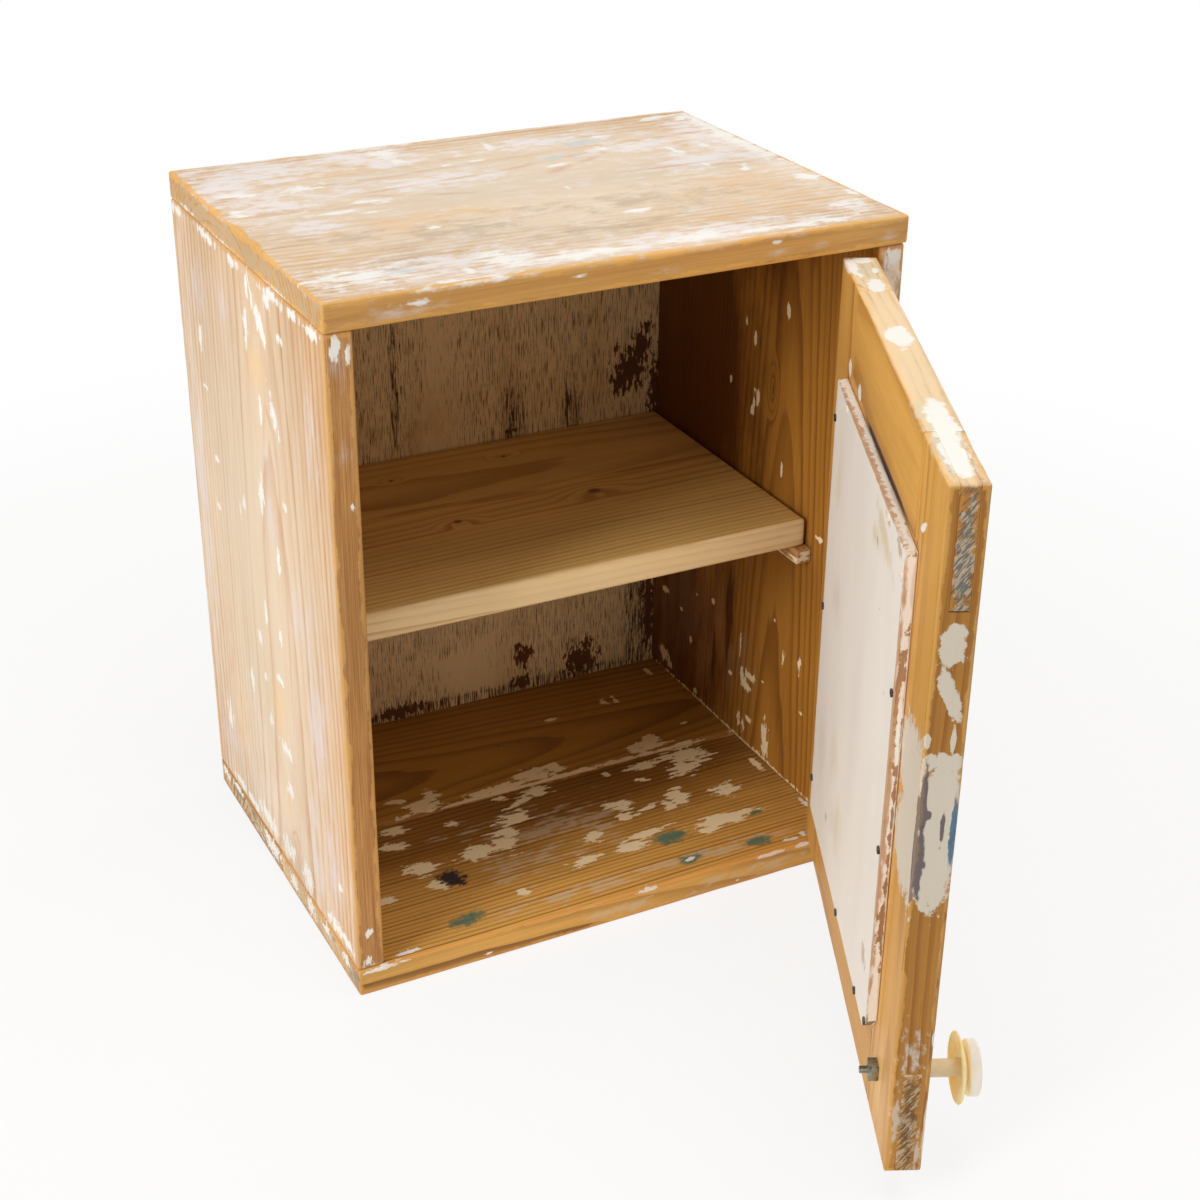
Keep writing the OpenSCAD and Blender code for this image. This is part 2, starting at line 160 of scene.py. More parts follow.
def linear(colour: Colour) -> Colour:
    """Turns a displayed colour into the linear one that shaders use."""
    parts = [c / 255 for c in colour]
    return tuple(c / 12.92 if c <= 0.04045 else ((c + 0.055) / 1.055) ** 2.4 for c in parts)


class Graph:
    """Writes a node tree: each method adds nodes and gives the output that others link to."""

    def __init__(self, tree: bpy.types.NodeTree) -> None:
        """Keeps the tree that is written."""
        self.tree = tree

    @classmethod
    def blank(cls, owner: Union[bpy.types.Material, bpy.types.World]) -> "Graph":
        """Empties the tree of a material or of the world and gives its graph.

        Args:
            owner: The material or the world.

        Returns:
            The graph.
        """
        owner.use_nodes = True
        owner.node_tree.nodes.clear()
        return cls(owner.node_tree)

    def node(self, kind: str, inputs: Optional[Mapping] = None, **settings: object) -> bpy.types.Node:
        """Adds one node.

        Args:
            kind: The node's type name.
            inputs: Its inputs by name or number, each an output to link or a plain value.
            **settings: Its other settings.

        Returns:
            The node.
        """
        made = self.tree.nodes.new(kind)
        for name, value in settings.items():
            setattr(made, name, value)
        for key, value in (inputs or {}).items():
            if isinstance(value, Socket):
                self.tree.links.new(value, made.inputs[key])
            else:
                made.inputs[key].default_value = value
        return made

    def math(self, operation: str, a: Value, b: Value = 0.0, clamp: bool = False) -> Socket:
        """Gives one sum of two values."""
        return self.node("ShaderNodeMath", {0: a, 1: b}, operation=operation, use_clamp=clamp).outputs[0]

    def times(self, a: Value, b: Value) -> Socket:
        """Multiplies two values."""
        return self.math("MULTIPLY", a, b)

    def plus(self, a: Value, b: Value) -> Socket:
        """Adds two values."""
        return self.math("ADD", a, b)

    def minus(self, a: Value, b: Value) -> Socket:
        """Takes the second value off the first."""
        return self.math("SUBTRACT", a, b)

    def vector(self, operation: str, a: Value, b: Value = (0.0, 0.0, 0.0)) -> Socket:
        """Gives one vector sum of two vectors, or the length of the first."""
        made = self.node("ShaderNodeVectorMath", {0: a, 1: b}, operation=operation)
        return made.outputs["Value" if operation == "LENGTH" else "Vector"]

    def shifted(self, place: Socket, share: Value, start: Value) -> Socket:
        """Multiplies each part of a place and then shifts it."""
        inputs = {0: place, 1: share, 2: start}
        return self.node("ShaderNodeVectorMath", inputs, operation="MULTIPLY_ADD").outputs[0]

    def parts(self, vector: Socket) -> Sequence[Socket]:
        """Takes a vector apart."""
        return self.node("ShaderNodeSeparateXYZ", {0: vector}).outputs

    def smooth(self, value: Value, low: float, high: float, start: float = 0.0, end: float = 1.0) -> Socket:
        """Eases a value from start to end while it goes from low to high."""
        inputs = {0: value, 1: low, 2: high, 3: start, 4: end}
        return self.node("ShaderNodeMapRange", inputs, interpolation_type="SMOOTHSTEP").outputs[0]

    def noise(self, place: Socket, scale: Value, detail: float = 3.0, rough: float = 0.5) -> Socket:
        """Gives smooth noise from 0 to 1."""
        inputs = {"Vector": place, "Scale": scale, "Detail": detail, "Roughness": rough}
        return self.node("ShaderNodeTexNoise", inputs).outputs[0]

    def streaks(self, place: Socket, size: Triple, detail: float = 3.0, rough: float = 0.5) -> Socket:
        """Gives noise with its own scale along each axis."""
        return self.noise(self.vector("MULTIPLY", place, size), 1.0, detail, rough)

    def mapping(self, place: Socket, where: Vector, turn: Euler, size: Sequence[float] = (1, 1, 1)) -> Socket:
        """Reads places in the frame of a thing that stands at where, turned and sized."""
        inputs = {"Vector": place, "Location": where, "Rotation": turn, "Scale": size}
        return self.node("ShaderNodeMapping", inputs, vector_type="TEXTURE").outputs[0]

    def within(self, place: Socket, home: Matrix) -> Socket:
        """Reads places in the frame that a matrix gives."""
        return self.mapping(place, home.translation, home.to_euler())

    def blend(self, factor: Value, under: Value, over: Value, kind: Blend = Blend.COVER) -> Socket:
        """Lays one colour over another.

        Args:
            factor: How much of it shows.
            under: The lower colour.
            over: The upper colour.
            kind: How it colours what lies under it.

        Returns:
            The mixed colour.
        """
        colours = [c if isinstance(c, Socket) else (*c, 1.0) for c in (under, over)]
        inputs = {0: factor, 6: colours[0], 7: colours[1]}
        return self.node("ShaderNodeMix", inputs, data_type="RGBA", blend_type=kind.value).outputs[2]

    def grey(self, level: Socket) -> Socket:
        """Makes a grey of one level."""
        return self.node("ShaderNodeCombineXYZ", {0: level, 1: level, 2: level}).outputs[0]

    def bump(self, height: Socket, strength: float, depth: float) -> Socket:
        """Turns a height from 0 to 1 into normals."""
        inputs = {"Strength": strength, "Distance": depth, "Height": height}
        return self.node("ShaderNodeBump", inputs).outputs[0]

    def coat(self, inputs: Mapping) -> None:
        """Adds the shader of a finish and shows it."""
        shader = self.node("ShaderNodeBsdfPrincipled", inputs)
        self.node("ShaderNodeOutputMaterial", {"Surface": shader.outputs[0]})

    def nearest_oval(self, place: Socket, ovals: Sequence["Oval"]) -> Socket:
        """Gives 1 in the middle of an oval, 0 on its outline and less outside.

        Args:
            place: Places in the closed cabinet.
            ovals: The ovals.

        Returns:
            The highest value over the ovals.
        """
        least = None
        for number, oval in enumerate(ovals):
            if number and number % DABS_IN_TURN == 0:
                # The last result shifts the place by a hair, so that a renderer works out a few ovals in turn
                # and never has to hold all of them at once.
                place = self.shifted(least, (HAIR, HAIR, HAIR), place)
            length = self.vector("LENGTH", oval.reading(self, place))
            least = length if least is None else self.math("MINIMUM", least, length)
        return self.minus(1.0, least)


@dataclass(frozen=True)
class Oval:
    """A solid oval in the closed cabinet, in metres."""

    where: Vector
    size: Vector
    turn: Optional[Euler] = None

    def reading(self, graph: Graph, place: Socket) -> Socket:
        """Gives places in the oval's frame, where its surface is 1 away from its middle.

        Args:
            graph: The graph to write in.
            place: Places in the closed cabinet.

        Returns:
            The places.
        """
        if self.turn:
            return graph.mapping(place, self.where, self.turn, self.size)
        share = Vector([1 / part for part in self.size])
        return graph.shifted(place, share, Vector([-a * b for a, b in zip(self.where, share)]))


class Effect:
    """A shader node group that several materials use, built once, with values as its outputs."""

    name = ""
    inputs: Mapping[str, Value] = {}
    outputs: Sequence[str] = ()

    def wire(self, graph: Graph, given: Mapping[str, Socket]) -> Sequence[Socket]:
        """Writes the group's nodes from its inputs on and gives its outputs.

        Args:
            graph: The group's graph.
            given: The group's inputs by name.

        Returns:
            The outputs in order.
        """
        raise NotImplementedError

    def tree(self) -> bpy.types.NodeTree:
        """Gives the group's tree, which is made on first use.

        Returns:
            The tree.
        """
        found = bpy.data.node_groups.get(self.name)
        if found:
            return found
        made = bpy.data.node_groups.new(self.name, "ShaderNodeTree")
        for name, default in self.inputs.items():
            kind = "NodeSocketVector" if isinstance(default, tuple) else "NodeSocketFloat"
            made.interface.new_socket(name, in_out="INPUT", socket_type=kind).default_value = default
        for name in self.outputs:
            made.interface.new_socket(name, in_out="OUTPUT", socket_type="NodeSocketFloat")
        graph = Graph(made)
        results = self.wire(graph, graph.node("NodeGroupInput").outputs)
        graph.node("NodeGroupOutput", dict(zip(self.outputs, results)))
        return made

    def place(self, graph: Graph, **values: Value) -> Sequence[Socket]:
        """Puts the group into a material.

        Args:
            graph: The material's graph.
            **values: The group's inputs, by their lower-case names.

        Returns:
            The group's outputs.
        """
        named = {name.capitalize(): value for name, value in values.items()}
        return graph.node("ShaderNodeGroup", named, node_tree=self.tree()).outputs


class PineGrain(Effect):
    """Growth rings, fibres and pores of a sawn pine board whose grain runs along X."""

    name = "Pine grain"
    inputs = {
        "Position": (0.0, 0.0, 0.0), "Pith": (0.0, 0.0, -0.02), "Rings": 160.0, "Taper": 0.012, "Swirl": 0.0,
    }
    outputs = ("Late", "Fibre", "Tone", "Pore")

    def wire(self, graph: Graph, given: Mapping[str, Socket]) -> Sequence[Socket]:
        """Measures the distance from a wavering pith and cuts it into rings.

        Args:
            graph: The group's graph.
            given: The group's inputs by name.

        Returns:
            The late wood, fibres, tone and pores.
        """
        place = given["Position"]
        centred = graph.vector("SUBTRACT", place, given["Pith"])
        along, across, deep = graph.parts(centred)
        radius = graph.math("SQRT", graph.plus(graph.times(across, across), graph.times(deep, deep)))
        coned = graph.plus(radius, graph.times(along, given["Taper"]))
        slow = graph.streaks(centred, (3.0, 14.0, 14.0), 2.0)
        quick = graph.streaks(centred, (12.0, 90.0, 90.0), 2.0)
        phase = graph.times(coned, given["Rings"])
        for more in (graph.times(slow, 2.6), graph.times(quick, 0.45), given["Swirl"]):
            phase = graph.plus(phase, more)
        ring = graph.math("FRACT", phase)
        band = graph.times(graph.smooth(ring, 0.35, 0.93), graph.smooth(ring, 0.93, 1.0, 1.0, 0.0))
        number = {"W": graph.math("FLOOR", phase)}
        one_ring = graph.node("ShaderNodeTexWhiteNoise", number, noise_dimensions="1D").outputs["Value"]
        late = graph.times(band, graph.smooth(one_ring, 0.0, 1.0, 0.45, 1.0))
        fibre = graph.streaks(place, (14.0, 700.0, 700.0), 4.0, 0.6)
        tone = graph.streaks(place, (4.0, 16.0, 16.0))
        dash = graph.streaks(place, (110.0, 2300.0, 2300.0), 1.0)
        return late, fibre, tone, graph.smooth(dash, 0.66, 0.74)


class ArrisWear(Effect):
    """A mask that is 1 along a block's worn arrises and corners."""

    name = "Arris wear"
    inputs = {"Position": (0.0, 0.0, 0.0), "Half": (0.1, 0.1, 0.01), "Width": 0.003}
    outputs = ("Worn",)

    def wire(self, graph: Graph, given: Mapping[str, Socket]) -> Sequence[Socket]:
        """Takes the second smallest distance to the block's faces, which is the one to its arris.

        Args:
            graph: The group's graph.
            given: The group's inputs by name.

        Returns:
            The mask.
        """
        place = given["Position"]
        inset = graph.vector("SUBTRACT", given["Half"], graph.vector("ABSOLUTE", place))
        a, b, c = graph.parts(inset)
        high = graph.math("MINIMUM", graph.math("MAXIMUM", a, b), c)
        arris = graph.math("MAXIMUM", graph.math("MINIMUM", a, b), high)
        ragged = graph.noise(place, 55.0, 4.0, 0.6)
        reach = graph.times(given["Width"], graph.smooth(ragged, 0.3, 0.7, 0.35, 1.9))
        return (graph.smooth(graph.math("DIVIDE", arris, reach), 0.6, 1.0, 1.0, 0.0),)


class RemnantAndShade(Effect):
    """Ragged patches left of a coat, and ragged painted shade, where a coverage from -1 to 1 says how much is
    covered.
    """

    name = "Coat remnant and painted shade"
    inputs = {"Position": (0.0, 0.0, 0.0), "Coverage": 0.0, "Scale": 110.0, "Ragged": 1.1, "Rim": 0.1}
    outputs = ("Mask",)

    def wire(self, graph: Graph, given: Mapping[str, Socket]) -> Sequence[Socket]:
        """Adds noise to the coverage and cuts it at zero.

        Args:
            graph: The group's graph.
            given: The group's inputs by name.

        Returns:
            The mask.
        """
        rough = graph.noise(given["Position"], given["Scale"], 5.0, 0.64)
        shift = graph.times(graph.minus(rough, 0.5), given["Ragged"])
        level = graph.plus(given["Coverage"], graph.times(shift, 2.0))
        return (graph.smooth(graph.math("DIVIDE", level, given["Rim"]), 0.0, 1.0),)


PINE_GRAIN = PineGrain()
ARRIS_WEAR = ArrisWear()
REMNANT_AND_SHADE = RemnantAndShade()


@dataclass(frozen=True)
class Knot:
    """A knot on a face, in millimetres, and how far the rings swerve round it."""

    face: Face
    a: float
    b: float
    ra: float
    rb: float
    swerve: float = 1.6


@dataclass(frozen=True)
class Finish:
    """A material by name, and the slot of the model that it fills."""

    name: str
    slot: str

    def begin(self) -> tuple[bpy.types.Material, Graph, Socket]:
        """Gives a blank material, its graph and places in the object's frame.

        Returns:
            The three of them.
        """
        made = bpy.data.materials.new(self.name)
        graph = Graph.blank(made)
        return made, graph, graph.node("ShaderNodeTexCoord").outputs["Object"]


@dataclass(frozen=True)
class PineFinish(Finish):
    """The finish of one pine board: its wood, its worn arrises and the layers on it."""

    early: Colour
    late: Colour
    worn: Colour
    layers: Sequence[Layer] = ()
    knots: Sequence[Knot] = ()
    pith: tuple[float, float] = (0.0, -30.0)
    rings: float = 170.0
    taper: float = 0.012
    late_strength: float = 0.75
    worn_width: float = 2.4
    worn_strength: float = 0.85
    rough: float = 0.6
    start: float = 0.0

    def material(self, board: "Board") -> bpy.types.Material:
        """Makes the board's material.

        Args:
            board: The board that wears it, which gives its frame and half sizes.

        Returns:
            The material.
        """
        made, graph, place = self.begin()
        home = graph.within(place, board.home)
        local = graph.within(home, board.frame_at_home)
        cut = graph.vector("ADD", local, (self.start, DRIFT * self.start, 0.0))
        knotty, swirl = self.knot_levels(graph, board, home)
        pith = (self.start, DRIFT * self.start + self.pith[0] * MM, self.pith[1] * MM)
        late, fibre, tone, pore = PINE_GRAIN.place(
            graph, position=cut, pith=pith, rings=self.rings, taper=self.taper, swirl=swirl
        )

        warm = graph.smooth(tone, 0.3, 0.7, 0.88, 1.06)
        light = graph.times(warm, graph.smooth(fibre, 0.25, 0.75, 0.9, 1.07))
        grey = graph.grey(graph.minus(light, graph.times(pore, 0.12)))
        colour = graph.blend(graph.times(late, self.late_strength), linear(self.early), linear(self.late))
        colour = graph.blend(1.0, colour, grey, Blend.TINT_AND_PAINTED_SHADE)
        if knotty:
            core = graph.times(graph.smooth(knotty, 0.0, 0.5), 0.75)
            heart = graph.times(graph.smooth(knotty, 0.3, 0.9), 0.6)
            colour = graph.blend(core, colour, KNOT_RIM)
            colour = graph.blend(heart, colour, KNOT_HEART)

        height = graph.plus(graph.times(fibre, 0.05), graph.times(late, 0.04))
        shade = graph.grey(graph.smooth(tone, 0.3, 0.7, 0.95, 1.03))
        paint = 0.0
        for number, layer in enumerate(self.layers):
            grain_place = graph.vector("ADD", cut, (0.13 * number, 0.29, 0.07))
            mask = self.mask(graph, board, home, grain_place, late, layer)
            tinted = graph.blend(1.0, linear(layer.colour), shade, Blend.TINT_AND_PAINTED_SHADE)
            colour = graph.blend(graph.times(mask, layer.strength), colour, tinted, layer.blend)
            if layer.relief:
                height = graph.plus(height, graph.times(mask, 0.14 * layer.relief))
                paint = graph.math("MAXIMUM", paint, mask)

        worn = ARRIS_WEAR.place(graph, position=local, half=board.half, width=self.worn_width * MM)[0]
        held = graph.minus(1.0, graph.times(paint, 0.7))
        bare = graph.times(graph.times(worn, held), self.worn_strength)
        colour = graph.blend(bare, colour, graph.blend(1.0, linear(self.worn), grey, Blend.TINT_AND_PAINTED_SHADE))
        roughness = graph.math("ADD", self.rough, graph.times(paint, 0.06), clamp=True)
        roughness = graph.math("SUBTRACT", roughness, graph.times(late, 0.06), clamp=True)
        graph.coat({
            "Base Color": colour, "Roughness": roughness, "Normal": graph.bump(height, 0.55, MM),
            "IOR": 1.45, "Specular IOR Level": 0.32,
        })
        return made

    def knot_levels(self, graph: Graph, board: "Board", home: Socket) -> tuple[Optional[Socket], Value]:
        """Gives how deep a place lies in a knot, if there is one, and how far the rings swerve there.

        Args:
            graph: The material's graph.
            board: The board.
            home: Places in the closed cabinet.

        Returns:
            The depth, or None where the board has no knots, and the swerve.
        """
        if not self.knots:
            return None, 0.0
        near, wide = (
            [board.oval(k.face, Dab(k.a, k.b, ra * k.ra, rb * k.rb)) for k in self.knots]
            for ra, rb in ((1, 1), (6, 4))
        )
        halo = graph.smooth(graph.nearest_oval(home, wide), 0.0, 1.0)
        return graph.nearest_oval(home, near), graph.times(halo, self.knots[0].swerve)

    def mask(
        self, graph: Graph, board: "Board", home: Socket, place: Socket, late: Socket, layer: Layer
    ) -> Socket:
        """Gives where a layer lies, from 0 to 1.

        Args:
            graph: The material's graph.
            board: The board.
            home: Places in the closed cabinet.
            place: Places along the grain.
            late: The late wood.
            layer: The layer.

        Returns:
            The mask.
        """
        ovals = [board.oval(face, Dab(*row)) for face, rows in layer.places.items() for row in rows]
        coverage = layer.stray
        if ovals:
            coverage = graph.math("MAXIMUM", graph.nearest_oval(home, ovals), layer.stray)
            coverage = graph.math("MINIMUM", coverage, layer.ceiling)
        if layer.bite:
            coverage = graph.minus(coverage, graph.times(late, layer.bite))
        if layer.slant:
            turn = Euler((math.radians(layer.slant), 0.0, 0.0))
            drawn = graph.mapping(place, Vector((0.0, 0.0, 0.0)), turn, (1, layer.stretch, 1))
        else:
            drawn = graph.vector("MULTIPLY", place, (1 / layer.stretch, 1, 1))
        return REMNANT_AND_SHADE.place(
            graph, position=drawn, coverage=coverage, scale=layer.scale, ragged=layer.ragged, rim=layer.rim
        )[0]


@dataclass(frozen=True)
class SteelFinish(Finish):
    """Dull steel with grime and spots of rust, and paint where ovals on the door are painted."""

    clean: Colour
    grime: Colour
    rough: float = 0.45
    metal: float = 0.85
    painted: Sequence[Oval] = ()
    paint: Colour = (0, 0, 0)

    def material(self) -> bpy.types.Material:
        """Makes the material.

        Returns:
            The material.
        """
        made, graph, place = self.begin()
        spots = graph.smooth(graph.noise(place, 320.0, 5.0, 0.6), 0.46, 0.6)
        grain = graph.noise(place, 2400.0, 2.0)
        colour = graph.blend(spots, linear(self.clean), linear(self.grime))
        metal = graph.smooth(spots, 0.0, 1.0, self.metal, 0.15)
        roughness = graph.plus(graph.times(spots, 0.3), self.rough)
        if self.painted:
            home = graph.within(place, DOOR_HOME)
            cover = graph.smooth(graph.nearest_oval(home, self.painted), 0.0, 0.1)
            colour = graph.blend(cover, colour, linear(self.paint))
            metal = graph.times(metal, graph.minus(1.0, cover))
        height = graph.plus(graph.times(spots, 0.5), graph.times(grain, 0.2))
        normal = graph.bump(height, 0.4, 0.1 * MM)
        graph.coat({"Base Color": colour, "Metallic": metal, "Roughness": roughness, "Normal": normal})
        return made


@dataclass(frozen=True)
class PlasticFinish(Finish):
    """Old moulded plastic, a little cloudy and handled, with a weak emission where lit is set: a painted
    glow, though it is no lamp.
    """

    fresh: Colour
    aged: Colour
    rough: float = 0.32
    glow: float = 0.25
    # Strength of the emission: painted glow standing in for light through the plastic.
    lit: float = 0.0

    def material(self) -> bpy.types.Material:
        """Makes the material.

        Returns:
            The material.
        """
        made, graph, place = self.begin()
        cloud = graph.noise(place, 90.0, 4.0, 0.55)
        specks = graph.noise(place, 1300.0, 3.0, 0.6)
        colour = graph.blend(graph.smooth(cloud, 0.35, 0.65), linear(self.fresh), linear(self.aged))
        colour = graph.blend(graph.smooth(specks, 0.64, 0.74, 0.0, 0.35), colour, linear((120, 98, 66)))
        inputs = {
            "Base Color": colour, "Roughness": graph.plus(graph.times(cloud, 0.16), self.rough),
            "Normal": graph.bump(specks, 0.15, 0.1 * MM), "Subsurface Weight": self.glow,
            "Subsurface Radius": (1.0, 0.8, 0.5), "Subsurface Scale": 4 * MM,
        }
        # Painted glow: the plastic emits its own colour weakly.
        if self.lit:
            inputs.update({"Emission Color": colour, "Emission Strength": self.lit})
        graph.coat(inputs)
        return made


def corners(points: Sequence[Vector]) -> Box:
    """Gives the lowest and highest corner of some points."""
    low, high = (Vector([pick(p[i] for p in points) for i in range(3)]) for pick in (min, max))
    return low, high


def closed_box(node: str, home: Matrix) -> Box:
    """Gives a CAD node's corners in the closed cabinet, whose places the matrix home takes to rest."""
    back = home.inverted()
    return corners([back @ v.co for v in frame["nodes"][node].data.vertices])


def door_home() -> Matrix:
    """Gives the matrix that takes the closed door to its place at rest.

    Returns:
        The matrix.
    """
    hinge = next(j for j in frame["joints"] if j["name"] == "door_hinge")
    pin = Matrix.Translation(Vector(hinge["pos_m"]))
    turn = Matrix.Rotation(-math.radians(hinge["range_deg"][0]), 4, "Z")
    return pin @ turn @ pin.inverted()


CLOSED = Matrix.Identity(4)
DOOR_HOME = door_home()


def axis_vector(axis: int) -> Vector:
    """Gives the unit vector of an axis."""
    return Vector([float(i == axis) for i in range(3)])


def add_object(name: str, data: bpy.types.ID) -> bpy.types.Object:
    """Adds an object to the scene.

    Args:
        name: Its name.
        data: Its data.

    Returns:
        The object.
    """
    made = bpy.data.objects.new(name, data)
    bpy.context.scene.collection.objects.link(made)
    return made


def mesh_of(name: str, bm: bmesh.types.BMesh) -> bpy.types.Mesh:
    """Turns a bmesh into a mesh and frees it.

    Args:
        name: The mesh's name.
        bm: The bmesh.

    Returns:
        The mesh.
    """
    mesh = bpy.data.meshes.new(name)
    bm.to_mesh(mesh)
    bm.free()
    return mesh


def block(low: Vector, high: Vector) -> bmesh.types.BMesh:
    """Makes a plain block between two corners.

    Args:
        low: Its lowest corner.
        high: Its highest corner.

    Returns:
        The block.
    """
    bm = bmesh.new()
    bmesh.ops.create_cube(bm, size=1.0)
    bmesh.ops.scale(bm, vec=high - low, verts=bm.verts)
    bmesh.ops.translate(bm, vec=(low + high) / 2, verts=bm.verts)
    return bm


def bevel(bm: bmesh.types.BMesh, edges: Sequence[bmesh.types.BMEdge], offset: float, segments: int) -> None:
    """Rounds some edges.

    Args:
        bm: The mesh.
        edges: Its edges to round.
        offset: How far the round reaches.
        segments: Its steps.
    """
    bmesh.ops.bevel(
        bm, geom=edges, offset=offset, offset_type="OFFSET", segments=segments, profile=0.5, affect="EDGES",
        material=-1, clamp_overlap=True,
    )


def add_piece(
    kind: str, node: str, body: str, slot: str, bm: bmesh.types.BMesh, home: Matrix,
    material: bpy.types.Material, sharp: float = 40.0,
) -> None:
    """Puts a finished piece in place of its CAD node, at rest, and logs it.

    Args:
        kind: The first word of its name.
        node: The CAD node.
        body: The body that it rides.
        slot: The slot that its material fills. Not used.
        bm: Its mesh in the closed cabinet's frame, which is freed.
        home: The matrix that takes closed places to rest.
        material: Its material.
        sharp: The angle in degrees above which an edge stays sharp.
    """
    bmesh.ops.transform(bm, matrix=home, verts=bm.verts)
    bmesh.ops.recalc_face_normals(bm, faces=bm.faces)
    mesh = mesh_of(kind + node, bm)
    mesh.polygons.foreach_set("use_smooth", [True] * len(mesh.polygons))
    mesh.set_sharp_from_angle(angle=math.radians(sharp))
    mesh.materials.append(material)
    piece = add_object(kind + node, mesh)
    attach(piece, body)
    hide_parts(node)
    LOG.info("%s: %d faces, on %s", piece.name, len(mesh.polygons), body)


@dataclass
class Board:
    """A sawn board in place of a CAD node: a block with notches, eased arrises and an uneven surface."""

    node: str
    finish: PineFinish
    grain: Axis
    body: str = "carcass"
    home: Matrix = field(default_factory=lambda: CLOSED)
    ease: float = 1.3
    wear: float = 0.5
    pitch: float = 9.0
    notches: Sequence[Box] = ()
    chips: Sequence[Box] = ()

    def __post_init__(self) -> None:
        """Reads the board's corners off its CAD node."""
        self.low, self.high = closed_box(self.node, self.home)
        size = self.high - self.low
        thin = min(range(3), key=lambda i: size[i])
        along = self.grain.value
        across = 3 - thin - along
        axes = [axis_vector(i) for i in (along, across, thin)]
        if axes[0].cross(axes[1]).dot(axes[2]) < 0:
            axes[2] = -axes[2]
        turn = Matrix(axes).transposed().to_4x4()
        self.frame_at_home = Matrix.Translation((self.low + self.high) / 2) @ turn
        self.half = tuple(size[i] / 2 for i in (along, across, thin))

    def oval(self, face: Face, dab: Dab) -> Oval:
        """Gives the solid oval of a dab on one of the board's faces.

        Args:
            face: The face.
            dab: The dab, turned from the face's first axis towards its second.

        Returns:
            The oval in the closed cabinet, in metres.
        """
        normal, side, first, second = face.value
        where = Vector()
        where[normal] = (self.high if side > 0 else self.low)[normal]
        size = Vector()
        size[normal] = dab.deep * MM
        for axis, middle, half in ((first, dab.a, dab.ra), (second, dab.b, dab.rb)):
            where[axis] = middle * MM
            size[axis] = half * MM
        if not dab.turn:
            return Oval(where, size)
        angle = math.radians(-dab.turn if normal == 1 else dab.turn)
        return Oval(where, size, Matrix.Rotation(angle, 3, "XYZ"[normal]).to_euler())

    def cut(self, bm: bmesh.types.BMesh, axis: int, level: float) -> None:
        """Cuts the whole mesh along a plane square to an axis.

        Args:
            bm: The board's mesh.
            axis: The axis.
            level: The plane's place on it.
        """
        normal = axis_vector(axis)
        everything = [*bm.verts, *bm.edges, *bm.faces]
        bmesh.ops.bisect_plane(bm, geom=everything, dist=TOUCH, plane_co=normal * level, plane_no=normal)

    def notch(self, bm: bmesh.types.BMesh, low: Vector, high: Vector) -> None:
        """Takes a box out of the block where the box reaches its faces.

        Args:
            bm: The block.
            low: The box's lowest corner.
            high: The box's highest corner.
        """
        low = Vector([max(low[i], self.low[i]) for i in range(3)])
        high = Vector([min(high[i], self.high[i]) for i in range(3)])
        if any(high[i] - low[i] < TOUCH for i in range(3)):
            return
        levels = [(i, p[i]) for i in range(3) for p in (low, high)]
        inner = [(i, at) for i, at in levels if self.low[i] + TOUCH < at < self.high[i] - TOUCH]
        for axis, level in inner:
            self.cut(bm, axis, level)
        gone = []
        for face in bm.faces:
            centre = face.calc_center_median()
            if all(low[i] - TOUCH <= centre[i] <= high[i] + TOUCH for i in range(3)):
                gone.append(face)
        bmesh.ops.delete(bm, geom=gone, context="FACES")
        walls = block(low, high)
        bmesh.ops.reverse_faces(walls, faces=walls.faces)
        open_walls = []
        for face in walls.faces:
            centre = face.calc_center_median()
            axis = max(range(3), key=lambda i: abs(face.normal[i]))
            if not any(axis == i and abs(centre[i] - level) < 2 * TOUCH for i, level in inner):
                open_walls.append(face)
        bmesh.ops.delete(walls, geom=open_walls, context="FACES")
        mesh = mesh_of("notch", walls)
        bm.from_mesh(mesh)
        bpy.data.meshes.remove(mesh)
        bmesh.ops.remove_doubles(bm, verts=bm.verts, dist=10 * TOUCH)

    def on_arris(self, point: Vector) -> bool:
        """Says whether a point lies on two of the block's outer planes."""
        return sum(abs(point[i] - p[i]) < 10 * TOUCH for i in range(3) for p in (self.low, self.high)) >= 2

    def ease_arrises(self, bm: bmesh.types.BMesh) -> None:
        """Rounds the arrises that lie on two of the block's outer planes.

        Args:
            bm: The board's mesh.
        """
        arrises = []
        for edge in bm.edges:
            start, end = (v.co for v in edge.verts)
            if all(self.on_arris(p) for p in (start, end, (start + end) / 2)):
                arrises.append(edge)
        bevel(bm, arrises, self.ease * MM, 3)

    def grid(self, bm: bmesh.types.BMesh) -> None:
        """Cuts the block into cells, with a tight row beside each arris.

        Args:
            bm: The board's mesh.
        """
        edge = 2.2 * self.ease * MM
        for axis in range(3):
            low, high = self.low[axis], self.high[axis]
            cells = int((high - low) / (self.pitch * MM))
            levels = [low + edge, high - edge, *(low + (high - low) * i / cells for i in range(1, cells))]
            for level in levels:
                if low + edge * 0.9 < level < high - edge * 0.9:
                    self.cut(bm, axis, level)

    def age(self, bm: bmesh.types.BMesh) -> None:
        """Sinks the surface by noise: a little on the faces, more along the arrises.

        Args:
            bm: The board's mesh.
        """
        bm.normal_update()
        moves = []
        for vert in bm.verts:
            gaps = sorted(min(vert.co[i] - self.low[i], self.high[i] - vert.co[i]) for i in range(3))
            near = max(0.0, 1.0 - gaps[1] / (3.2 * self.ease * MM))
            dent = max(0.0, noise.noise(vert.co * 42.0) + 0.35 * noise.noise(vert.co * 160.0)) ** 1.5
            ripple = 0.5 + 0.5 * noise.noise(vert.co * 13.0 + Vector((7.1, 0.0, 0.0)))
            if gaps[0] < self.ease * MM:
                moves.append((vert, vert.normal * (self.wear * MM * dent * near + 0.12 * MM * ripple)))
        for vert, move in moves:
            vert.co -= move

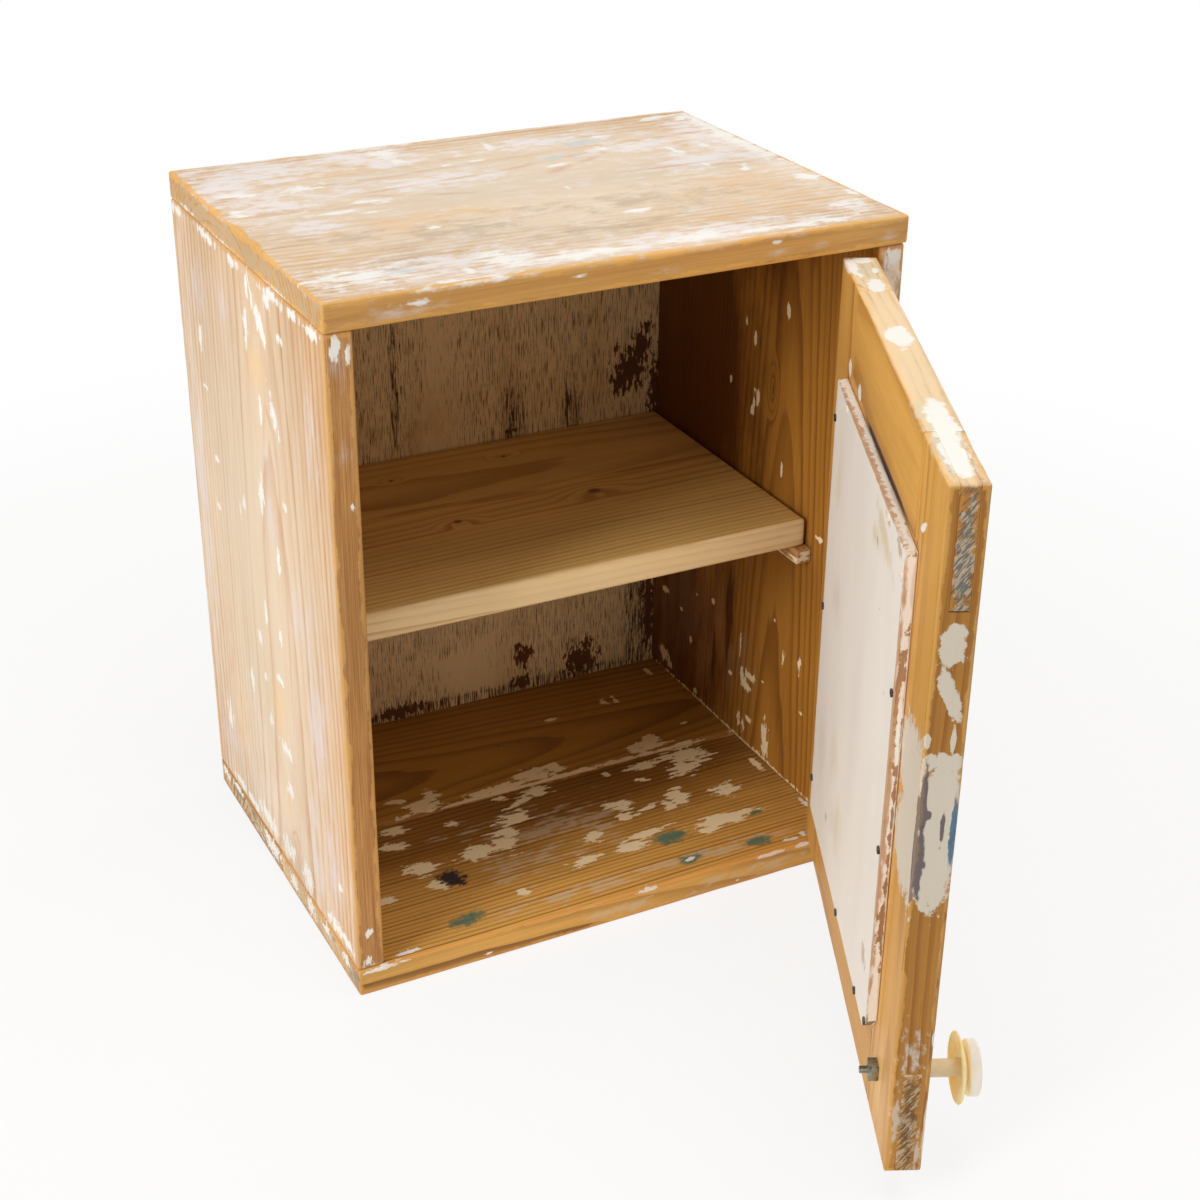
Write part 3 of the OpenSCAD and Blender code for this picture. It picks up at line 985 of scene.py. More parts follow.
    def chip(self, bm: bmesh.types.BMesh, where: Vector, way: Vector) -> None:
        """Breaks a corner off along a plane and closes the break.

        Args:
            bm: The board's mesh.
            where: A point of the plane.
            way: The way out of the board, square to the plane.
        """
        everything = [*bm.verts, *bm.edges, *bm.faces]
        cut = bmesh.ops.bisect_plane(
            bm, geom=everything, dist=TOUCH, plane_co=where, plane_no=way, clear_outer=True
        )
        rim = [e for e in cut["geom_cut"] if isinstance(e, bmesh.types.BMEdge)]
        bmesh.ops.holes_fill(bm, edges=rim, sides=0)

    def build(self) -> None:
        """Models the board, dresses it and puts it in place of its CAD node."""
        bm = block(self.low, self.high)
        for low, high in self.notches:
            self.notch(bm, low, high)
        self.ease_arrises(bm)
        self.grid(bm)
        for where, way in self.chips:
            self.chip(bm, where, way)
        self.age(bm)
        add_piece("worn_", self.node, self.body, self.finish.slot, bm, self.home, self.finish.material(self))


WHITE = (243, 240, 234)
CREAM = (245, 227, 187)
LILAC = (226, 216, 218)

TOP_FLAKES = {
    Face.TOP: (
        (-140, -100, 32, 17), (-60, -102, 20, 14), (-15, -114, 66, 8), (45, -112, 24, 9), (105, -118, 58, 6),
        (150, -101, 14, 15, 20), (-148, 62, 18, 7), (-112, 60, 28, 7), (-160, 33, 7, 12),
        (-82, 20, 20, 6, -22), (-108, 8, 12, 4), (-95, 2, 9, 3), (-45, 112, 14, 16), (-42, 94, 6, 9),
        (20, 101, 4, 11, -10), (0, 73, 6, 2), (-20, 71, 4, 3), (80, 66, 8, 5), (42, 45, 12, 4, 12),
        (90, 92, 4, 4), (118, 44, 4, 10, 12), (140, 46, 4, 9), (-98, 65, 3, 4), (40, -57, 11, 4, 14),
        (-72, -38, 5, 4), (25, -2, 2, 5), (120, 6, 3, 6), (137, -8, 3, 13, -25), (-85, -113, 4, 6),
        (164, 62, 9, 84), (166, 92, 9, 56), (165, 34, 8, 40), (160, 112, 8, 12), (161, -38, 8, 12),
        (166, -75, 3, 8), (143, 116, 12, 5, 8), (-60, 128, 90, 4), (90, 128, 60, 3), (-92, -125, 50, 2.4),
    ),
    Face.FRONT: (
        (-31, 410, 5, 1.4), (86, 412, 3.4, 1.3), (131, 415, 6, 1.2), (-120, 409, 12, 2.6),
        (-92, 415, 48, 1.6),
    ),
    Face.LEFT: ((-60, 401, 24, 2), (30, 401, 34, 1.6), (96, 402, 18, 2)),
}
TOP_SOFT_WHITE = {
    Face.TOP: (
        (-125, 98, 60, 36), (-152, 74, 34, 70), (-140, 40, 40, 40), (-60, 108, 50, 26), (-100, -98, 80, 26),
        (60, -108, 100, 17), (120, 20, 50, 26), (-40, 44, 80, 18), (150, 60, 24, 76), (-50, 92, 30, 22),
        (60, 96, 80, 16), (100, 62, 50, 20), (-130, -10, 24, 18),
    ),
}
TOP_SMEARS = {
    Face.FRONT: (
        (-130, 406, 34, 5), (20, 406, 12, 3), (88, 407, 12, 3), (112, 406, 12, 3.4), (157, 405, 13, 4),
    ),
}
TOP_BLUE = {
    Face.TOP: ((72, 84, 20, 10), (123, 70, 4, 4), (46, 58, 14, 6), (-118, -98, 10, 6), (65, -68, 4, 3)),
}
TOP_ROSE = {
    Face.TOP: (
        (-68, 38.5, 27, 3.2, 6), (-22, 43.5, 27, 3.2, 6), (20, 51, 25, 4, 14), (58, 59, 22, 4, 10),
        (77, 58, 5, 5), (63, 48, 18, 4.4, 25), (37, 35, 18, 6, 27), (-75, 28, 19, 3.4, -21),
        (-40, 16.5, 25, 3.4, -15), (96, 13.5, 60, 2.8, -1),
    ),
}
TOP_GRIME = {
    Face.TOP: (
        (-60, -48, 44, 30, 10), (-100, -82, 30, 20), (10, -78, 54, 18), (60, -42, 70, 26),
        (-120, -38, 30, 14), (0, -30, 30, 10),
    ),
}
TOP_ORANGE = {Face.TOP: ((-90, 82, 40, 13, 6), (-140, 45, 22, 8), (-70, -20, 90, 26), (110, -40, 60, 50))}
LEFT_FLAKES = {
    Face.LEFT: (
        (118, 396, 14, 4), (62, 396, 17, 4), (14, 395, 11, 4), (-52, 396, 18, 4), (-82, 396, 8, 3),
        (-110, 396, 14, 4), (-9, 389, 4, 11), (-27, 373, 6, 15, -38), (-2, 362, 4, 12), (-43, 390, 5, 7),
        (-40, 328, 5, 15, -34), (-18, 320, 3, 9), (-9, 267, 5, 13, 8), (28, 247, 4, 5), (35, 238, 2, 5),
        (90, 327, 4, 8), (88, 297, 5, 2.4), (76, 255, 4, 3), (80, 222, 4, 2), (94, 70, 5, 10),
        (38, 122, 4, 9), (0, 188, 3, 8), (-32, 235, 4, 10), (16, 164, 3, 6), (-25, 183, 4, 5),
        (-17, 152, 6, 3), (-22, 106, 10, 4, 12), (-24, 78, 7, 6), (5, 113, 3, 6), (-105, 60, 4, 3),
        (-50, 276, 3, 3), (85, 24, 16, 4), (28, 29, 24, 6), (-12, 30, 12, 8), (-45, 28, 10, 10),
        (-100, 26, 24, 5), (60, 24, 12, 4), (-60, 375, 5, 3), (10, 140, 4, 3),
    ),
    Face.FRONT: (
        (-163, 393, 5, 7), (-157, 388, 1.6, 5), (-158, 305.5, 1.6, 4), (-163, 22, 3, 5), (-162, 42, 3, 3),
    ),
}
LEFT_LILAC = {
    Face.LEFT: (
        (88, 360, 20, 30), (112, 225, 16, 70), (40, 362, 12, 22), (100, 50, 30, 26), (-80, 160, 26, 90),
        (-95, 70, 16, 60), (-62, 60, 12, 50), (-25, 270, 14, 50), (-100, 340, 14, 40), (-62, 210, 24, 26),
    ),
    Face.FRONT: ((-163, 384, 6, 14), (-162, 335, 5, 8)),
}
LEFT_ROSE = {
    Face.LEFT: (
        (-22.2, 312.7, 3, 32, 13), (-17.5, 287, 3, 22, 6), (-13, 264.7, 3, 27, 16), (-8, 244, 3, 18, 11),
        (-5, 187, 2.6, 98, 2), (-0.5, 93, 2.4, 90, 4), (-32.4, 321, 3, 20, -42), (-40.5, 303.5, 3, 22, -9),
        (-41.8, 256, 2.4, 74, 1), (-40, 175, 2.4, 90, 2), (1.6, 363, 3, 58, -6), (-16.8, 36.6, 2, 20, 18),
        (-23.8, 49, 2, 11, 53), (-31, 48, 2, 11, -37), (-36, 33.6, 2, 21, -11),
    ),
}
LEFT_PALE = {Face.LEFT: ((10, 40, 300, 120), (118, 210, 40, 420))}
LEFT_WHOLE = {Face.LEFT: ((10, 210, 260, 420),)}
SIDE_FRONTS = {Face.FRONT: ((0, 208, 420, 420, 0, 2.0),)}
RIGHT_WHOLE = {Face.RIGHT: ((10, 210, 260, 420),)}
TOP_PALE = {Face.TOP: ((160, 0, 26, 256), (-10, -116, 330, 22), (-120, 116, 110, 24))}
TOP_WHOLE = {Face.TOP: ((0, 8, 420, 250),)}
TOP_ENDS = {Face.LEFT: ((0, 406, 300, 16, 0, 1.5),), Face.RIGHT: ((0, 406, 300, 16, 0, 1.5),)}
LEFT_HONEY = {Face.LEFT: ((-18, 62, 46, 36), (-16, 344, 26, 20), (70, 80, 24, 60), (-10, 130, 24, 40))}
# Painted shadow on the inner face of the right side: its back part and top are darkened where the left side
# and the top board cast their shadow.
RIGHT_PAINTED_SHADOW = {Face.LEFT: ((130, 230, 150, 420), (50, 430, 130, 120))}
# Painted shade: a softer darkening that widens the painted shadow above.
RIGHT_PAINTED_SHADE = {Face.LEFT: ((30, 262, 84, 190), (-60, 170, 90, 60))}
RIGHT_STREAK = {Face.LEFT: ((16, 96, 6, 50), (34, 60, 4, 30))}
RIGHT_VEIL = {Face.LEFT: ((70, 90, 110, 100),)}
RIGHT_FRONT = {Face.FRONT: ((161, 360, 26, 130), (162, 120, 8, 60))}
BASE_SIDE = {
    Face.LEFT: (
        (24, 10, 20, 7), (-16, 9, 9, 6), (-47, 9, 9, 6), (-75, 12, 8, 4), (-108, 12, 7, 4), (92, 14, 12, 3),
        (118, 12, 10, 4),
    ),
}
BASE_CHEEK = {Face.LEFT: ((0, 9, 300, 20, 0, 1.5),), Face.RIGHT: ((0, 9, 300, 20, 0, 1.5),)}
BASE_SIDE_GREY = {
    Face.LEFT: ((90, 12, 12, 5), (60, 12, 8, 5), (-82, 13, 12, 3), (-120, 9, 10, 8), (0, 1, 140, 2.4)),
}
BASE_CREAM = {
    Face.TOP: (
        (20, 8, 150, 2.6), (-72, 15, 12, 7), (-84, 26, 8, 3, -25), (-62, 24, 6, 8, -30), (-18, 12, 26, 5),
        (8, 17, 18, 9), (24, 20, 7, 7), (93, 17, 16, 8), (99, 24, 8, 5), (0, -2, 13, 8), (-22, 1, 6, 3),
        (-12, -9, 16, 2.4, 14), (110, -6, 17, 14), (82, -4, 20, 5, 6), (102, -18, 14, 10),
        (-25, -24, 13, 8, 10), (-34, -36, 6, 10, -14), (42, -41, 9, 9), (40, -52, 7, 6),
        (56, -51, 12, 2.6, 20), (82, -48, 8, 11), (72, -54, 6, 6), (114, -54, 11, 8), (-60, -50, 15, 8, 12),
        (-42, -46, 8, 12, 20), (-96, -70, 7, 6), (12, -66, 8, 6, 24), (-4, -86, 11, 6), (28, -84, 11, 6),
        (46, -76, 18, 4, 6), (94, -84, 24, 7), (82, -90, 10, 4), (-53, -100, 4, 5), (-62, -12, 5, 3),
        (-105, -20, 9, 6), (-98, -5, 9, 5), (148, -35, 3, 11), (52, -4, 3, 4, 40), (70, -19, 7, 3, -30),
        (50, 77, 5, 2.4), (94, 82, 4, 3), (102, 82, 2, 4), (142, 108, 3, 5), (130, 32, 4, 2),
        (-100, -50, 12, 8), (-130, -72, 8, 5), (118, 8, 8, 3),
    ),
}
BASE_WHITE = {
    Face.TOP: (
        (121, -122, 6, 3), (132, -120, 2, 3), (55, -113, 3.4, 1.8, 20), (-136, -124, 8, 2), (152, -90, 2, 5),
    ),
    Face.FRONT: (
        (15, 16, 8, 1.2), (100, 15.6, 11, 1.2), (126, 16, 4, 1.4), (-158, 15.6, 11, 1.4), (-88, 4, 4.4, 1.4),
        (-142, 16.4, 6, 1), (80, 3.6, 2, 1),
    ),
}
# Painted shadow on the base front board: everything behind its lit front strip is darkened, as the left side
# and the top shade it.
BASE_PAINTED_SHADOW = {Face.TOP: ((0, -15, 600, 86),)}
BASE_VEIL = {
    Face.TOP: (
        (-20, -45, 46, 30), (20, -52, 16, 26), (-40, -70, 24, 22), (60, -112, 90, 6), (-20, -114, 60, 7),
    ),
    Face.FRONT: ((2, 8, 28, 4.6), (98, 8, 32, 5.4), (60, 7, 18, 4)),
}
BASE_GREEN = {
    Face.TOP: (
        (55, -87, 14, 9), (55, -113, 12, 6, 6), (103, -115, 13, 6), (117, -86, 7, 3), (-94, -110, 15, 8, 10),
    ),
}
BASE_INK = {Face.TOP: ((-87, -65, 9, 7), (-84, -71, 10, 6), (3, 61, 1.8, 1.4))}
RIGHT_CREAM = {
    Face.LEFT: (
        (-38, 336, 2.4, 5), (-7, 270, 3, 6), (-3, 260, 2.6, 7), (-39, 232, 1.4, 5), (-2, 306, 1.6, 5),
        (26, 269, 1.6, 2), (10, 313, 1.2, 4), (-86, 204, 4, 1.6), (-72, 108, 2, 8), (-53, 106, 1.6, 6),
        (-40, 127, 2, 2), (-14, 72, 7, 3), (-4, 67, 4, 6), (-10, 62, 6, 3), (-36, 35, 4.4, 13),
        (-4, 31, 4.4, 6, -20), (-14, 39, 4, 2), (0, 84, 0.9, 13), (38, 104, 2, 2), (60, 99, 2, 1.4),
        (103, 30, 9, 5, 20), (58, 24, 2, 2), (81, 78, 2, 1.4), (104, 83, 4, 2), (12, 62, 2, 2),
        (66, 60, 2, 3), (0, 19, 130, 1.8), (-78, 77, 3, 1.4), (-30, 76, 2, 1.4),
    ),
}
PANEL_LOSS = {
    Face.BACK: (
        (-120, 40, 34, 10), (130, 372, 20, 10), (20, 26, 60, 6), (-147, 190, 6, 50), (60, 392, 60, 4),
        (100, 120, 5, 18), (-60, 300, 4, 12), (148, 90, 5, 40),
    ),
    Face.FRONT: (
        (133, 246, 12, 14), (124, 238, 5, 10), (140, 262, 6, 14, -20), (152, 226, 5, 24), (122, 262, 2, 4),
        (50, 44, 7, 8), (47, 53, 3, 3), (96, 30, 13, 13), (100, 42, 4, 8), (48, 24, 7, 5), (-42, 23, 22, 5),
        (150, 60, 5, 34), (44, 217, 6, 1.6),
    ),
}
PANEL_SPLITS = {
    Face.BACK: ((-30, 330, 4, 60), (70, 90, 5, 70), (-110, 220, 3, 50), (20, 200, 2.4, 80)),
    Face.FRONT: (
        (45, 226, 7, 20), (88, 224, 6, 18), (-20, 19, 90, 6), (70, 19, 60, 6), (140, 60, 8, 50),
        (-38, 262, 2.4, 36),
    ),
}
PANEL_TAN = {Face.FRONT: ((-110, 290, 60, 110), (-20, 230, 60, 30))}
PANEL_FOOT = {Face.FRONT: ((20, 66, 300, 90),)}
PANEL_CHECKS = {
    Face.BACK: ((60, 280, 110, 150), (-90, 110, 70, 120), (-60, 360, 120, 60)),
    Face.FRONT: (
        (90, 272, 70, 110), (-30, 285, 12, 40), (-56, 260, 30, 60), (110, 60, 60, 60), (-20, 78, 40, 16),
        (-60, 34, 40, 24), (120, 340, 60, 60),
    ),
}
DOOR_WHITE = {
    Face.FRONT: (
        (-93, 300, 2.4, 20), (-92.5, 130, 2, 14), (92.5, 260, 2.4, 26), (20, 84, 24, 2), (-50, 336, 18, 2),
        (-140, 390, 9, 4), (-147, 200, 3, 26), (120, 26, 18, 4), (-128, 300, 3, 8), (118, 330, 2.4, 7),
        (60, 370, 6, 2.4), (-20, 40, 9, 2.4),
    ),
    Face.TOP: (
        (104, -120, 12, 5.6), (25, -118.5, 17, 7.6), (-84, -119, 33, 7), (-122, -118, 26, 6.4),
        (136, -111.5, 19, 4), (146, -118, 7, 7), (128, -123, 5, 2), (120, -114, 5, 2),
    ),
    Face.LEFT: ((-127.5, 48, 1.0, 20), (-127.4, 104, 1.0, 6)),
    Face.BACK: ((104, 350, 5, 5), (70, 348.6, 6, 4), (-112, 357, 8, 2.4, -35)),
}
DOOR_OLIVE = {Face.TOP: ((130, -118, 26, 11), (-112, -116, 38, 10), (-74, -112, 16, 4))}
DOOR_CREAM = {
    Face.LEFT: (
        (-118, 324, 6, 7), (-117.6, 319.5, 6.4, 12), (-118, 315, 5.6, 6), (-118.5, 295, 4, 15, -20),
        (-122, 272, 1.4, 8), (-119, 238, 10, 26), (-119, 204, 10, 28), (-112.5, 260, 4, 5),
        (-118.5, 260.5, 4, 5), (-124.5, 260, 4, 5), (-110.4, 271, 1.8, 4),
    ),
    Face.BACK: ((-130, 243, 26, 27), (-134, 204, 28, 27), (-146, 222, 14, 48)),
}
DOOR_PURPLE = {
    Face.LEFT: (
        (-111.4, 236, 1.9, 26), (-112.0, 205, 2.2, 22), (-121, 225, 1.2, 12), (-113.4, 205, 2.4, 3),
        (-113.4, 232, 2.2, 3),
    ),
    Face.BACK: ((-151, 215, 2, 34),),
}
DOOR_BLUE = {Face.LEFT: ((-126.2, 222, 2.0, 20),)}
DOOR_TENONS = {Face.LEFT: ((-118.9, 362, 4.6, 34),)}
DOOR_EDGE = {Face.LEFT: ((-118, 200, 60, 600),)}
DOOR_OUTSIDE = {Face.FRONT: ((0, 210, 420, 420),)}
BOARD_WHOLE = {
    Face.BACK: ((0, 205, 900, 900, 0, 1.2),),
    Face.LEFT: ((-106, 322, 7, 30), (-106, 90, 6, 36), (-104.8, 190, 2.2, 60), (-107, 250, 1.4, 30)),
    Face.TOP: ((0, -105.4, 300, 6.0),),
    Face.RIGHT: ((-106, 200, 6, 200),),
    Face.FRONT: ((0, 205, 900, 900, 0, 1.2),),
}
BOARD_ARRIS = {Face.BACK: ((0, 342.2, 130, 0.9), (-106.6, 205, 1.2, 150), (-100, 69.2, 26, 0.8))}
BOARD_YELLOW = {Face.BACK: ((80, 300, 17, 46), (36, 148, 20, 28), (-54, 322, 30, 13), (14, 124, 22, 18))}
BOARD_OCHRE = {Face.BACK: ((-58, 326, 36, 8, 14), (-34, 316, 10, 8), (-86, 104, 9, 7, 40))}
BOARD_ROSE = {Face.BACK: ((64, 232, 30, 26), (20, 110, 34, 20), (80, 130, 20, 40))}
BOARD_SPOTS = {
    Face.BACK: (
        (-87, 106, 8, 5, 40), (-40, 316, 5, 3, 40), (49, 99, 4, 3), (-60, 338, 7, 3), (-95, 338, 8, 4),
    ),
}
RIGHT_OUTSIDE = {
    Face.RIGHT: (
        (60, 392, 40, 5), (-70, 30, 30, 7), (20, 250, 6, 20), (-40, 150, 5, 16), (-20, 394, 30, 4),
        (90, 330, 5, 12), (40, 28, 30, 6), (-90, 300, 4, 16), (70, 120, 4, 10), (-110, 90, 6, 20),
    ),
    Face.FRONT: ((162, 393, 5, 5), (164, 60, 3, 18), (157.5, 332, 2, 8), (158, 24, 3, 4)),
}
SHELF_HEART = {Face.TOP: ((0, 37, 38, 5), (-60, 42, 40, 3), (110, 40, 60, 3))}
SHELF_FRONT = {Face.FRONT: ((0, 204, 400, 30),)}
DOOR_PALE = {Face.TOP: ((0, -118, 400, 30, 0, 2.0),)}
DOOR_SMEAR = {Face.LEFT: ((-118, 96, 8, 14), (-112, 60, 3, 26), (-125, 30, 3, 20))}
DOOR_LOWER_TENON = {Face.LEFT: ((-118.9, 50, 4.8, 40),)}
DOOR_CORNER = {Face.BACK: ((-128, 44, 44, 60),)}
DOOR_RAIL_GLOW = {Face.BACK: ((0, 382, 310, 56),)}
# Painted shadow: a dark line on the top rail just above the door board's top edge, where the board stands off
# the rail.
DOOR_GAP_PAINTED_SHADOW = {Face.BACK: ((-14, 344.2, 92, 2.6),)}

# A thin, streaky film left in the pores of the wood; it also lays the painted shadow above the door board.
haze_and_painted_shadow = Layer((236, 220, 204), strength=0.6, ragged=2.2, rim=1.2, scale=150.0, stretch=7.0, bite=0.0).at
# Crisp flakes of an old coat, longer along the grain.
flakes = Layer(WHITE, ragged=2.2, rim=0.3, scale=260.0, stretch=2.6, bite=0.35, relief=1.0).at
# A soft darkening or tint that lets the grain show: a real tint on some boards, painted shade and shadow
# inside the right side and on the base.
tint_and_painted_shade = Layer(WHITE, ragged=0.4, scale=30.0, blend=Blend.TINT_AND_PAINTED_SHADE).at
# A whole coat, or what breaks it.
coat = Layer(WHITE).at

SIDE_FRONT = (
    tint_and_painted_shade(SIDE_FRONTS, (238, 230, 204), ragged=0.3, rim=0.9),
    coat(
        SIDE_FRONTS, (134, 86, 40), ragged=2.6, rim=0.7, scale=2400.0, stretch=160.0, ceiling=0.3,
        strength=0.6,
    ),
)
BASE_EDGES = (
    haze_and_painted_shadow(BASE_CHEEK, (214, 190, 158), strength=0.75, ragged=1.8, rim=0.8, stretch=2.0, scale=110.0, bite=0.8),
    haze_and_painted_shadow(BASE_SIDE_GREY, (120, 116, 104), strength=0.7, ragged=1.6, rim=0.4, stretch=3.0, bite=0.8),
    flakes(BASE_SIDE),
)

TOP_FINISH = PineFinish(
    "stripped_top", "top_pine", (214, 162, 92), (180, 120, 68), (232, 176, 92),
    layers=(
        haze_and_painted_shadow(TOP_WHOLE, (227, 209, 186), strength=0.92, ragged=0.4, rim=0.8, bite=0.2),
        haze_and_painted_shadow(
            TOP_ENDS, (198, 170, 134), strength=0.8, ragged=2.0, rim=0.6, stretch=1.4, scale=110.0, bite=0.8,
        ),
        haze_and_painted_shadow(TOP_ORANGE, (228, 186, 132), stretch=4.0, bite=0.8),
        haze_and_painted_shadow(TOP_WHOLE, (234, 224, 218), strength=0.65, rim=1.3, stretch=2.4, ceiling=0.25, bite=0.2),
        haze_and_painted_shadow(TOP_GRIME, (180, 158, 132), strength=0.55, ragged=2.6, rim=1.4, stretch=1.6, scale=90.0),
        haze_and_painted_shadow(TOP_PALE, (240, 230, 220), strength=0.5, ragged=1.2, stretch=2.0, bite=0.2),
        haze_and_painted_shadow(TOP_SOFT_WHITE, (238, 232, 232), strength=0.8, rim=1.1, stretch=2.0, bite=0.2),
        haze_and_painted_shadow(TOP_ROSE, (206, 158, 128), strength=0.7, ragged=0.5, rim=1.3),
        haze_and_painted_shadow(TOP_SMEARS, (226, 210, 200), strength=0.75, ragged=1.8, rim=1.5, stretch=3.0, bite=0.3),
        haze_and_painted_shadow(TOP_BLUE, (186, 206, 214), strength=0.55, ragged=1.8, rim=0.9, stretch=1.6, bite=0.2),
        flakes(TOP_FLAKES, ragged=1.9, rim=0.8, scale=200.0, stray=-0.85, bite=0.1),
    ),
    pith=(40.0, -75.0), rings=210.0, taper=-0.02, start=0.0, worn_width=2.6, late_strength=0.55,
)
LEFT_FINISH = PineFinish(
    "stripped_left_side", "side_pine", (208, 156, 100), (186, 128, 74), (220, 168, 98),
    layers=(
        haze_and_painted_shadow(LEFT_WHOLE, (231, 211, 184), strength=0.92, ragged=0.3, rim=0.9, bite=0.3),
        haze_and_painted_shadow(
            LEFT_WHOLE, (238, 224, 212), strength=0.4, ragged=1.8, rim=1.6, stretch=5.0, ceiling=0.1,
            bite=0.3,
        ),
        haze_and_painted_shadow(LEFT_HONEY, (238, 200, 146), strength=0.7, ragged=1.2, stretch=3.0, bite=0.2),
        haze_and_painted_shadow(LEFT_PALE, (240, 230, 218), strength=0.5, ragged=1.2, stretch=5.0, bite=0.3),
        haze_and_painted_shadow(LEFT_ROSE, (208, 160, 128), ragged=0.5),
        haze_and_painted_shadow(LEFT_LILAC, LILAC, strength=0.65, ragged=2.0, rim=1.4, stretch=4.0, bite=0.3),
        *SIDE_FRONT,
        flakes(LEFT_FLAKES, rim=0.4, stray=-0.9, bite=0.2),
    ),
    pith=(-25.0, -72.2), rings=200.0, taper=0.018, start=1.0, worn_width=2.6, worn_strength=0.7,
    late_strength=0.65,
)
RIGHT_FINISH = PineFinish(
    "stripped_right_side", "side_pine", (178, 122, 46), (124, 74, 24), (206, 144, 68),
    layers=(
        haze_and_painted_shadow(RIGHT_WHOLE, (238, 214, 182), strength=0.84, ragged=0.6, rim=0.9, bite=0.35),
        haze_and_painted_shadow(RIGHT_WHOLE, LILAC, strength=0.5, ragged=3.0, rim=1.0, stretch=12.0, ceiling=-0.1, bite=0.5),
        # Painted shadow and painted shade over the back and top of the inner face.
        tint_and_painted_shade(RIGHT_PAINTED_SHADOW, (168, 148, 124), ragged=0.7, rim=0.4, stretch=4.0),
        tint_and_painted_shade(RIGHT_PAINTED_SHADE, (224, 220, 216), rim=1.2),
        haze_and_painted_shadow(RIGHT_VEIL, (168, 142, 112), strength=0.3, ragged=1.6, rim=1.0, stretch=5.0, bite=0.3),
        tint_and_painted_shade(RIGHT_STREAK, (170, 146, 116), ragged=1.2, rim=0.6, scale=200.0, stretch=8.0),
        *SIDE_FRONT,
        haze_and_painted_shadow(RIGHT_FRONT, (252, 230, 208), strength=0.95, ragged=1.4, rim=0.8, stretch=3.0, bite=0.1),
        flakes(RIGHT_CREAM, CREAM, rim=0.2, stray=-1.0),
        flakes(RIGHT_OUTSIDE, rim=0.4, stray=-1.0),
    ),
    knots=(Knot(Face.LEFT, -25, 280, 1.6, 7, 2.6),),
    pith=(-40.0, -42.0), rings=260.0, taper=0.03, start=2.0, worn_width=2.4, late_strength=0.75,
)
BASE_FRONT_FINISH = PineFinish(
    "stained_base_front_painted_shadow", "base_pine", (224, 172, 90), (130, 78, 28), (220, 160, 84),
    layers=(
        # Painted shadow over the back of the board.
        tint_and_painted_shade(BASE_PAINTED_SHADOW, (172, 156, 132), rim=0.9),
        haze_and_painted_shadow(BASE_VEIL, (214, 196, 168), strength=0.5, ragged=3.0, rim=0.9, stretch=3.0, bite=0.8),
        *BASE_EDGES,
        flakes(BASE_CREAM, CREAM, stray=-1.0, rim=0.2, ragged=1.6),
        flakes(BASE_GREEN, (58, 116, 104), strength=0.85, stretch=1.6, bite=0.3, ragged=0.9, rim=0.5),
        flakes(BASE_INK, (26, 28, 42), strength=0.95, stretch=1.2, ragged=1.2, rim=0.4),
        flakes(BASE_WHITE),
    ),
    pith=(130.0, -60.0), rings=300.0, taper=0.012, start=3.0, rough=0.5, late_strength=0.85,
)
BASE_REAR_FINISH = PineFinish(
    "stained_base_rear", "base_pine", (180, 132, 56), (122, 80, 32), (186, 134, 70),
    layers=(
        *BASE_EDGES,
        flakes(BASE_CREAM, CREAM, stray=-1.1, rim=0.2, ragged=1.7),
        flakes(BASE_INK, (38, 36, 44), strength=0.9, stretch=1.6),
    ),
    pith=(-18.0, -26.0), rings=170.0, taper=0.06, start=4.0, rough=0.5, late_strength=0.75,
)
PANEL_FINISH = PineFinish(
    "checked_panel", "panel_paint", (112, 72, 42), (84, 50, 28), (92, 58, 36),
    layers=(
        coat({}, (240, 214, 162), stray=1.0, ragged=0.2, rim=0.3, stretch=2.0, relief=0.6),
        haze_and_painted_shadow({}, (204, 168, 108), stray=0.0, stretch=6.0, scale=30.0),
        haze_and_painted_shadow(PANEL_FOOT, (252, 232, 196), strength=0.45, ragged=0.6, stretch=3.0),
        haze_and_painted_shadow(PANEL_TAN, (206, 168, 96), strength=0.35, ragged=1.2, rim=1.4, stretch=4.0),
        coat(
            PANEL_CHECKS, (84, 54, 30), ragged=2.6, rim=0.4, scale=1700.0, stretch=24.0, stray=-0.78,
            ceiling=-0.08, strength=0.85, relief=-0.8,
        ),
        coat(
            PANEL_SPLITS, (80, 52, 28), ragged=2.6, rim=0.3, scale=1500.0, stretch=20.0, ceiling=0.1,
            relief=-0.8,
        ),
        coat(PANEL_LOSS, (100, 62, 36), ragged=2.2, rim=0.14, scale=420.0, relief=-1.0),
    ),
    pith=(0.0, -90.0), rings=140.0, start=5.0, worn_strength=0.0, rough=0.62,
)
SHELF_FINISH = PineFinish(
    "new_shelf", "new_pine", (230, 196, 122), (178, 124, 62), (234, 198, 136),
    knots=(
        Knot(Face.TOP, -41, 16, 4, 3, 1.6), Knot(Face.TOP, 54, 21, 6, 4.2, 1.6), Knot(Face.TOP, 25, 95, 3, 2),
        Knot(Face.TOP, -55, 90, 2.4, 1.8),
    ),
    layers=(
        haze_and_painted_shadow(SHELF_HEART, (158, 96, 46), strength=0.5, ragged=0.7, rim=0.6),
        haze_and_painted_shadow(SHELF_FRONT, (255, 228, 186), ragged=0.5, rim=0.7, bite=0.3),
    ),
    pith=(45.0, -100.0), rings=290.0, taper=0.012, start=6.0, worn_strength=0.3, worn_width=1.8, rough=0.5,
    late_strength=0.7,
)
BEARER_FINISH = PineFinish(
    "rough_bearer", "bearer_pine", (190, 142, 86), (130, 88, 50), (186, 140, 90),
    layers=(flakes({}, (240, 222, 186), stray=0.35, ragged=1.8, stretch=7.0, scale=190.0),),
    rings=260.0, start=7.0,
)


